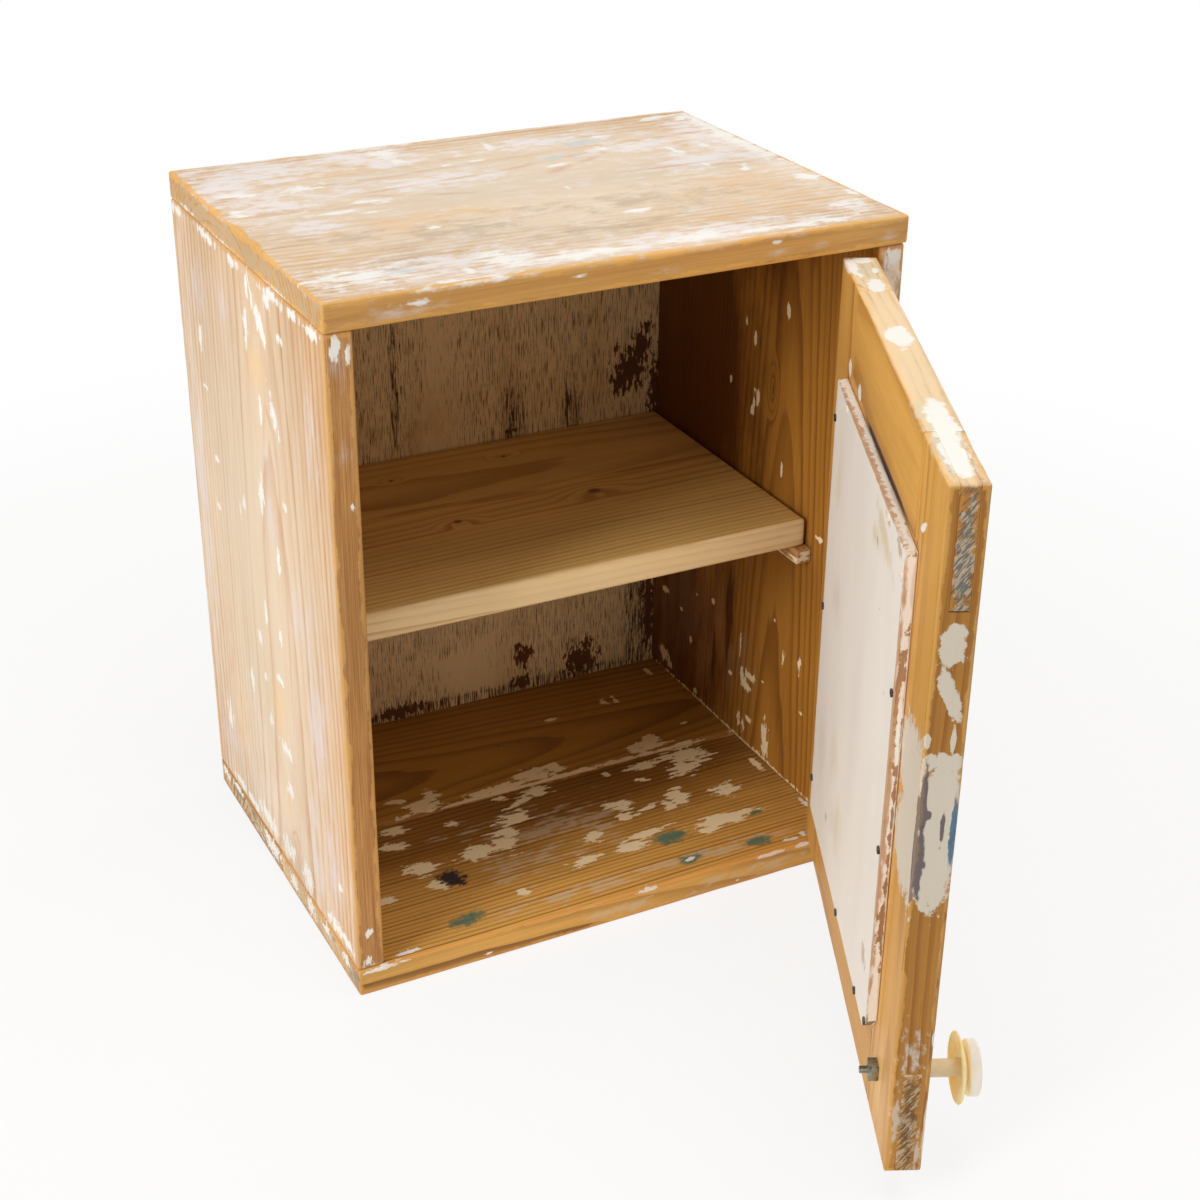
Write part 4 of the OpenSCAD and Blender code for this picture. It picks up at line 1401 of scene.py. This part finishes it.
def door_layers(cheeks: bool, free: bool = True) -> tuple[Layer, ...]:
    """Gives the remnants on the door's frame, and a painted shadow above the door board's top edge.

    Args:
        cheeks: Whether the piece shows rough end grain at the free edge, as the rails' tenons do.
        free: Whether the piece reaches the free edge.

    Returns:
        The layers, from the lowest up.
    """
    hatch = (
        haze_and_painted_shadow(DOOR_TENONS, (190, 176, 152), strength=0.85, ragged=1.6, rim=0.4, relief=0.1),
        coat(
            DOOR_TENONS, (78, 84, 86), ragged=3.0, rim=0.6, scale=1150.0, stretch=6.0, slant=35.0,
            ceiling=0.45, strength=0.8,
        ),
        haze_and_painted_shadow(DOOR_LOWER_TENON, (104, 72, 36), strength=0.85, ragged=0.8, rim=0.5, relief=0.1),
        coat(
            DOOR_LOWER_TENON, (206, 188, 156), ragged=3.0, rim=0.6, scale=860.0, stretch=5.0, slant=38.0,
            ceiling=0.15, strength=0.7,
        ),
    )
    layers = (
        haze_and_painted_shadow(DOOR_OUTSIDE, (236, 212, 184), ragged=0.6, rim=0.6, bite=0.8),
        tint_and_painted_shade(DOOR_EDGE, (214, 200, 174), rim=0.6, stretch=4.0, scale=110.0), *(hatch if cheeks else ()),
        haze_and_painted_shadow(DOOR_PALE, (242, 216, 176), strength=0.85, ragged=0.5, rim=0.8, bite=0.25),
        haze_and_painted_shadow(DOOR_OLIVE, (214, 206, 184), strength=0.8, ragged=2.6, rim=0.7, stretch=1.6),
        haze_and_painted_shadow(DOOR_RAIL_GLOW, (244, 188, 100), strength=0.55, ragged=0.5, bite=0.2),
        haze_and_painted_shadow(DOOR_CORNER, (248, 206, 148), ragged=0.5, bite=0.3),
        haze_and_painted_shadow(
            DOOR_SMEAR, (208, 198, 184), strength=0.75, ragged=2.6, rim=0.9, stretch=1.6, scale=260.0,
            bite=0.8,
        ),
        flakes(DOOR_CREAM, (216, 205, 188), ragged=0.7, rim=0.15, stretch=1.4, bite=0.0),
        flakes(DOOR_PURPLE, (88, 78, 84), ragged=1.0, stretch=2.4, strength=0.9, bite=0.0),
        flakes(DOOR_BLUE, (52, 108, 142), ragged=0.9, stretch=3.0, strength=0.9, bite=0.0),
        flakes(DOOR_WHITE, (242, 240, 232), ragged=0.8, rim=0.25, scale=120.0, stretch=1.2, bite=0.0),
        # Painted shadow along the door board's top edge.
        haze_and_painted_shadow(DOOR_GAP_PAINTED_SHADOW, (36, 20, 8), strength=1.0, ragged=0.6, rim=0.4),
    )
    if free:
        return layers
    others = [
        replace(layer, places={face: rows for face, rows in layer.places.items() if face is not Face.LEFT})
        for layer in layers
    ]
    return tuple(layer for layer in others if layer.places)


def door_finish(
    name: str, start: float, pith: tuple[float, float], cheeks: bool = False, free: bool = True
) -> PineFinish:
    """Gives the finish of one member of the door's frame.

    Args:
        name: The material's name.
        start: Where in the tree the piece was cut, so that no two look alike.
        pith: The pith's place across and below the piece, in millimetres.
        cheeks: Whether the piece has tenons that show.
        free: Whether the piece reaches the free edge.

    Returns:
        The finish.
    """
    return PineFinish(
        name, "door_pine", (216, 162, 82), (174, 112, 46), (230, 176, 94),
        layers=door_layers(cheeks, free), pith=pith, rings=190.0, taper=0.01, start=start, rough=0.52,
        worn_width=1.0 if cheeks else 2.0, worn_strength=0.15 if cheeks else 0.5,
    )


BOARD_FINISH = PineFinish(
    "painted_door_board", "board_paint", (182, 142, 104), (140, 104, 72), (176, 132, 92),
    layers=(
        coat(BOARD_WHOLE, (246, 240, 231), ragged=1.7, scale=170.0, stretch=1.6, relief=1.6, stray=-0.4),
        flakes(
            BOARD_ARRIS, (196, 148, 102), ragged=1.2, rim=0.4, stretch=4.0, bite=0.0, strength=0.85,
            relief=0.0,
        ),
        haze_and_painted_shadow(BOARD_YELLOW, (224, 210, 172), strength=0.45, ragged=0.9, stretch=5.0),
        haze_and_painted_shadow(BOARD_OCHRE, (214, 186, 132), strength=0.5, ragged=1.2, rim=1.0, stretch=2.0),
        haze_and_painted_shadow(BOARD_ROSE, (222, 202, 186), strength=0.4, ragged=0.9, stretch=5.0),
        haze_and_painted_shadow(BOARD_SPOTS, (166, 134, 96), ragged=1.6, rim=0.7, stretch=1.4),
    ),
    pith=(0.0, -80.0), start=12.0, worn_width=1.6, worn_strength=0.95, rough=0.55,
)


HINGE_STEEL = SteelFinish("hinge_steel", "hinge_steel", (150, 146, 138), (96, 70, 48))
NAIL_STEEL = SteelFinish("nail_steel", "nail_steel", (88, 84, 80), (46, 40, 38), 0.55, 0.6)
PAINTED_OVER = (
    Oval(Vector((0.0, -0.103, 0.34)), Vector((0.13, 0.02, 0.009))),
    Oval(Vector((-0.105, -0.103, 0.326)), Vector((0.02, 0.02, 0.02))),
)
BOARD_PIN = replace(NAIL_STEEL, name="board_pin", painted=PAINTED_OVER, paint=(240, 232, 218))
PAINTED_NAIL = SteelFinish("painted_nail", "nail_steel", (228, 208, 186), (214, 188, 160), 0.6, 0.0)
BOLT_STEEL = SteelFinish("bolt_steel", "bolt_steel", (150, 148, 130), (92, 88, 70), 0.4, 0.8)
STEM_PLASTIC = PlasticFinish("stem_plastic", "ivory_plastic", (252, 242, 210), (244, 228, 182))
# The flange and the cap have a weak emission: painted glow standing in for light through the plastic.
FLANGE_PLASTIC = PlasticFinish(
    "flange_plastic", "ivory_plastic", (255, 232, 180), (255, 216, 144), rough=0.28, glow=1.0, lit=0.12
)
CAP_PLASTIC = PlasticFinish("cap_plastic", "cap_plastic", (255, 250, 238), (254, 245, 226), lit=0.04)


@dataclass
class Carcass:
    """The box: top, sides, two base boards and the painted back panel."""

    rebate_cut: float = 8 * MM
    play: float = 0.4 * MM
    ease: float = 1.5

    def rebate(self) -> Box:
        """Gives the space of the back panel's rebate, past the back of the boards.

        Returns:
            The space's corners.
        """
        low, high = closed_box("back_panel", CLOSED)
        past = Vector((self.play, 0.0, self.play))
        return low - past, high + past + Vector((0.0, self.rebate_cut, 0.0))

    def build(self) -> None:
        """Builds the boards of the box, the shelf and its bearers."""
        rebated = dict(ease=self.ease, notches=(self.rebate(),))
        batten = dict(ease=1.0, wear=0.6, pitch=6.0)
        for board in (
            Board("top_board", TOP_FINISH, Axis.X, wear=0.7, **rebated),
            Board("left_side", LEFT_FINISH, Axis.Z, **rebated),
            Board("right_side", RIGHT_FINISH, Axis.Z, **rebated),
            Board("base_front_board", BASE_FRONT_FINISH, Axis.X, wear=0.6, **rebated),
            Board("base_rear_board", BASE_REAR_FINISH, Axis.X, **rebated),
            Board("back_panel", PANEL_FINISH, Axis.Z, ease=0.5, wear=0.1, pitch=14.0),
            Board("left_bearer", BEARER_FINISH, Axis.Y, **batten),
            Board("right_bearer", BEARER_FINISH, Axis.Y, **batten),
            Board("shelf", SHELF_FINISH, Axis.X, body="shelf", ease=2.0, wear=0.15),
        ):
            board.build()


@dataclass
class Door:
    """The framed door: two stiles, two rails with tenons that show, and the board nailed over its opening."""

    stile_width: float = 57 * MM
    joint_gap: float = 0.12 * MM
    tenon_near: float = 14.4 * MM
    tenon_far: float = 5.4 * MM
    broken_corner: float = 9 * MM
    ease: float = 1.2

    def tenon(self) -> tuple[float, float]:
        """Gives the two planes of the tenons, which are the middle third of the door's thickness."""
        back = closed_box("door_top_rail", DOOR_HOME)[1].y
        return back - self.tenon_near, back - self.tenon_far

    def cheeks(self, node: str) -> list[Box]:
        """Gives what is taken off a rail beside its tenons.

        Args:
            node: The rail's CAD node.

        Returns:
            The boxes to take off.
        """
        low, high = closed_box(node, DOOR_HOME)
        near, far = self.tenon()
        reach = self.stile_width + self.joint_gap
        boxes = []
        for x0, x1 in ((low.x - MM, low.x + reach), (high.x - reach, high.x + MM)):
            boxes.append((Vector((x0, low.y - MM, low.z - MM)), Vector((x1, near, high.z + MM))))
            boxes.append((Vector((x0, far, low.z - MM)), Vector((x1, high.y + MM, high.z + MM))))
        return boxes

    def slots(self, node: str) -> list[Box]:
        """Gives the two slots of a stile that the rails' tenons lie in.

        Args:
            node: The stile's CAD node.

        Returns:
            The boxes to take off.
        """
        low, high = closed_box(node, DOOR_HOME)
        near, far = self.tenon()
        boxes = []
        for rail, below, above in (("door_top_rail", 0.0, MM), ("door_bottom_rail", MM, 0.0)):
            foot, head = (p.z for p in closed_box(rail, DOOR_HOME))
            boxes.append((Vector((low.x - MM, near, foot - below)), Vector((high.x + MM, far, head + above))))
        return boxes

    def build(self) -> None:
        """Builds the door's frame and its board."""
        for member, start, pith, cheeks, free in (
            ("hinge_stile", 8.0, (10.0, -60.0), False, False),
            ("free_stile", 9.0, (-16.0, -46.0), False, True),
            ("top_rail", 10.0, (8.0, -70.0), True, True),
            ("bottom_rail", 11.0, (-12.0, -50.0), True, True),
        ):
            node = "door_" + member
            grain, cuts = (Axis.X, self.cheeks(node)) if cheeks else (Axis.Z, self.slots(node))
            finish = door_finish(member + "_pine", start, pith, cheeks, free)
            Board(node, finish, grain, "door", DOOR_HOME, self.ease, wear=0.4, notches=cuts).build()
        low, high = closed_box("door_board", DOOR_HOME)
        corner = Vector((low.x + self.broken_corner, high.y, low.z))
        chips = ((corner, Vector((-0.75, 0.0, -0.66)).normalized()),)
        Board("door_board", BOARD_FINISH, Axis.Z, "door", DOOR_HOME, 0.7, pitch=7.0, chips=chips).build()


def lathe(outline: Sequence[Point], steps: int = 72) -> bmesh.types.BMesh:
    """Spins an outline round Z.

    Args:
        outline: Radius and height of each point, from one end to the other.
        steps: Steps of the spin.

    Returns:
        The turned mesh.
    """
    bm = bmesh.new()
    points = [bm.verts.new((radius, 0.0, height)) for radius, height in outline]
    edges = [bm.edges.new(pair) for pair in zip(points, points[1:])]
    bmesh.ops.spin(
        bm, geom=[*points, *edges], cent=(0, 0, 0), axis=(0, 0, 1), angle=2 * math.pi, steps=steps,
        use_merge=True,
    )
    bmesh.ops.remove_doubles(bm, verts=bm.verts, dist=TOUCH)
    bmesh.ops.recalc_face_normals(bm, faces=bm.faces)
    return bm


def arc(centre: Point, radius: float, start: float, end: float, steps: int = 6) -> list[Point]:
    """Gives points of a round corner of an outline, from one angle to another in degrees."""
    angles = [math.radians(start + (end - start) * i / steps) for i in range(steps + 1)]
    return [(centre[0] + radius * math.cos(a), centre[1] + radius * math.sin(a)) for a in angles]


@dataclass
class Knob:
    """The plastic knob on its bolt. Heights are counted from the door's outer face, outwards."""

    stem_waist: float = 0.35 * MM
    stem_foot: float = 0.4 * MM
    stem_head: float = 0.3 * MM
    flange_thick: float = 1.8 * MM
    flange_bow: float = 1.5
    cap_dome: float = 1.4 * MM
    cap_soft: float = 1.4 * MM
    cap_under: float = 0.9 * MM
    cap_neck: float = 0.6 * MM
    cap_shy: float = 0.05 * MM
    thread_pitch: float = 0.7 * MM
    thread_depth: float = 0.28 * MM
    thread_start: float = 0.2 * MM
    nut_chamfer: float = 0.5 * MM
    bore: float = 2.2 * MM

    def __post_init__(self) -> None:
        """Reads the knob's axis off its stem."""
        low, high = closed_box("knob_stem", DOOR_HOME)
        self.axis = Vector(((low.x + high.x) / 2, high.y, (low.z + high.z) / 2))

    def span(self, node: str) -> tuple[float, float, float]:
        """Gives a node's radius and the heights of its two ends."""
        low, high = closed_box(node, DOOR_HOME)
        return (high.x - low.x) / 2, self.axis.y - high.y, self.axis.y - low.y

    def stem(self) -> bmesh.types.BMesh:
        """Turns the stem, a tube with a slight waist.

        Returns:
            Its mesh.
        """
        radius, low, high = self.span("knob_stem")
        outline = [(self.bore, low), (radius - self.stem_foot, low), (radius, low + self.stem_foot)]
        for i in range(1, 8):
            outline.append((radius - self.stem_waist * math.sin(math.pi * i / 8), low + (high - low) * i / 8))
        outline += [(radius, high - self.stem_head), (radius - self.stem_head, high)]
        return lathe([*outline, (self.bore, high), (self.bore, low)])

    def flange(self) -> bmesh.types.BMesh:
        """Turns the thin dish whose rim hooks back towards the door.

        Returns:
            Its mesh.
        """
        radius, low, high = self.span("knob_flange")
        stem = self.span("knob_stem")[0]
        half = self.flange_thick / 2
        top = high - self.flange_thick
        under = []
        for i in range(15):
            share = i / 14
            drop = (top - low) * share ** self.flange_bow
            under.append((stem + (radius - half - stem) * share, top - drop))
        over = [(x, height + self.flange_thick) for x, height in reversed(under)]
        rim = arc((radius - half, low + half), half, -80, 80)
        return lathe([(self.bore, top), *under, *rim, *over, (self.bore, high), (self.bore, top)])

    def cap(self) -> bmesh.types.BMesh:
        """Turns the cap: a neck, an upright rim with soft corners and a low dome.

        Returns:
            Its mesh.
        """
        radius, low, high = self.span("knob_cap")
        radius -= self.cap_shy
        soft = self.cap_soft
        outline = [(0.0, low), (radius - self.cap_under, low)]
        outline += arc((radius - self.cap_neck, low + self.cap_under), self.cap_neck, -45, 0)
        outline += arc((radius - soft, high - self.cap_dome - soft), soft, 0, 70)
        edge, base = outline[-1]
        for i in range(1, 11):
            share = 1 - i / 10
            outline.append((edge * share, base + (high - base) * (1 - share ** 2)))
        return lathe(outline)

    def bolt(self) -> bmesh.types.BMesh:
        """Turns the bolt, whose inner end shows the rings of its thread.

        Returns:
            Its mesh.
        """
        radius, low, high = self.span("knob_bolt")
        root = radius - self.thread_depth
        outline = [(0.0, low), (root, low)]
        height = low + self.thread_start
        while height < self.span("knob_stem")[1]:
            outline += [(radius, height), (root, height + self.thread_pitch / 2)]
            height += self.thread_pitch
        return lathe([*outline, (radius, height), (radius, high), (0.0, high)], 40)

    def nut(self) -> bmesh.types.BMesh:
        """Makes the square nut with its corners chamfered on both faces.

        Returns:
            Its mesh.
        """
        half, low, high = self.span("knob_nut")
        bm = block(Vector((-half, -half, low)), Vector((half, half, high)))
        bevel(bm, bm.edges[:], self.nut_chamfer, 2)
        return bm

    def build(self) -> None:
        """Builds the five pieces of the knob and stands them on its axis."""
        home = DOOR_HOME @ Matrix.Translation(self.axis) @ Matrix.Rotation(math.radians(90), 4, "X")
        for node, make, finish, sharp in (
            ("knob_stem", self.stem, STEM_PLASTIC, 40.0),
            ("knob_flange", self.flange, FLANGE_PLASTIC, 60.0),
            ("knob_cap", self.cap, CAP_PLASTIC, 60.0),
            ("knob_bolt", self.bolt, BOLT_STEEL, 30.0),
            ("knob_nut", self.nut, BOLT_STEEL, 40.0),
        ):
            add_piece("turned_", node, "door", finish.slot, make(), home, finish.material(), sharp)


class Ironmongery:
    """The hinges, their pins and screws, and all nails: their CAD shapes with a finish."""

    def dress(self, names: Sequence[str], finish: SteelFinish) -> None:
        """Gives CAD nodes one finish.

        Args:
            names: The nodes.
            finish: The finish.
        """
        material = finish.material()
        for name in names:
            slots = frame["nodes"][name].data.materials
            slots.clear()
            slots.append(material)
            LOG.info("%s: %s", name, finish.name)

    def build(self) -> None:
        """Dresses the hinges and the nails."""
        names = list(frame["nodes"])
        hinges = [n for n in names if "hinge_" in n and "stile" not in n or n.endswith("leaf_screws")]
        odd = ("top_nails", "door_board_pins")
        self.dress(hinges, HINGE_STEEL)
        self.dress([n for n in names if n.endswith(("_nails", "_pins")) and n not in odd], NAIL_STEEL)
        self.dress(odd[:1], PAINTED_NAIL)
        self.dress(odd[1:], BOARD_PIN)


@dataclass
class Studio:
    """The floor, the lamps, the backdrop and the camera."""

    floor_radius: float = 3.0
    ambient: float = 0.3
    lens: float = 61.23
    camera_at: Triple = (-0.47345, -1.02116, 0.74109)
    right: Triple = (0.892358, -0.451261, 0.007801)
    down: Triple = (-0.201508, -0.413825, -0.887774)
    ahead: Triple = (0.403846, 0.790640, -0.460213)

    def white_rays(self, graph: Graph) -> Socket:
        """Gives 1 for rays from the camera, a reflection or glass, which see plain white.

        Args:
            graph: The graph to write in.

        Returns:
            The share of plain white.
        """
        path = graph.node("ShaderNodeLightPath").outputs
        seen = graph.math("MAXIMUM", path["Is Camera Ray"], path["Is Glossy Ray"])
        return graph.math("MAXIMUM", seen, path["Is Transmission Ray"])

    def show(self, graph: Graph, share: Socket, lit: bpy.types.Node, white: bpy.types.Node, end: str) -> None:
        """Links a mix of a lit and a plain white shader to an output of the type that end names."""
        mixed = graph.node("ShaderNodeMixShader", {0: share, 1: lit.outputs[0], 2: white.outputs[0]})
        graph.node(end, {"Surface": mixed.outputs[0]})

    def world(self) -> None:
        """Makes the pale surround."""
        world = bpy.data.worlds.new("surround")
        bpy.context.scene.world = world
        graph = Graph.blank(world)
        soft = graph.node("ShaderNodeBackground", {"Color": (1.0, 0.98, 0.95, 1.0), "Strength": self.ambient})
        plain = graph.node("ShaderNodeBackground", {"Color": PLAIN_WHITE, "Strength": 1.0})
        self.show(graph, self.white_rays(graph), soft, plain, "ShaderNodeOutputWorld")

    def floor(self) -> None:
        """Makes the floor, which keeps the object's shadow and fades to plain white."""
        bm = bmesh.new()
        bmesh.ops.create_circle(bm, cap_ends=True, radius=self.floor_radius, segments=64)
        mesh = mesh_of("floor", bm)
        material, graph, place = Finish("pale_floor", "floor").begin()
        mesh.materials.append(material)
        tint = graph.blend(graph.noise(place, 900.0, 2.0), (0.86, 0.85, 0.84), (0.9, 0.9, 0.89))
        diffuse = graph.node("ShaderNodeBsdfDiffuse", {"Color": tint})
        glow = graph.node("ShaderNodeEmission", {"Color": PLAIN_WHITE, "Strength": 1.0})
        away = graph.smooth(graph.vector("LENGTH", place), 0.3, 1.0, 0.8, 1.0)
        share = graph.times(away, self.white_rays(graph))
        self.show(graph, share, diffuse, glow, "ShaderNodeOutputMaterial")
        add_object("floor", mesh)

    def lamp(
        self, name: str, way: Vector, distance: float, size: Point, level: float, colour: Triple
    ) -> None:
        """Adds a soft lamp that looks at the object.

        Args:
            name: The lamp's name.
            way: The way from the object to the lamp.
            distance: How far off the lamp stands.
            size: The lamp's width and height.
            level: The share of a plain level that it gives the object.
            colour: Its colour.
        """
        light = bpy.data.lights.new(name, "AREA")
        light.shape = "RECTANGLE"
        light.size, light.size_y = size
        light.color = colour
        light.energy = level * (math.pi * distance) ** 2
        lamp = add_object(name, light)
        lamp.location = (CAD_LOW + CAD_HIGH) / 2 + way.normalized() * distance
        lamp.rotation_euler = way.to_track_quat("Z", "Y").to_euler()

    def camera(self) -> None:
        """Stands the camera where the object is seen as in its photograph."""
        data = bpy.data.cameras.new("camera")
        data.sensor_fit = "HORIZONTAL"
        data.sensor_width = 36.0
        data.lens = self.lens
        camera = add_object("camera", data)
        axes = (Vector(self.right), -Vector(self.down), -Vector(self.ahead))
        camera.matrix_world = Matrix.Translation(self.camera_at) @ Matrix(axes).transposed().to_4x4()
        bpy.context.scene.camera = camera

    def build(self) -> None:
        """Sets up the studio."""
        bpy.context.scene.view_settings.view_transform = "Standard"
        self.world()
        self.floor()
        self.camera()
        self.lamp("window", Vector((-0.86, -0.28, 0.4)), 2.0, (0.6, 1.6), 0.62, (1.0, 0.98, 0.95))
        self.lamp("ceiling", Vector((0.1, -0.1, 1.0)), 1.9, (1.6, 1.6), 0.54, (1.0, 0.99, 0.97))
        self.lamp("fill", Vector((0.9, 0.1, 0.35)), 2.2, (1.6, 1.2), 0.22, (1.0, 0.99, 0.97))


def main() -> None:
    """Builds the studio and dresses the cabinet."""
    logging.basicConfig(level=logging.INFO, format="%(name)s: %(message)s")
    Studio().build()
    Carcass().build()
    Door().build()
    Knob().build()
    Ironmongery().build()


if __name__ == "__main__":
    main()
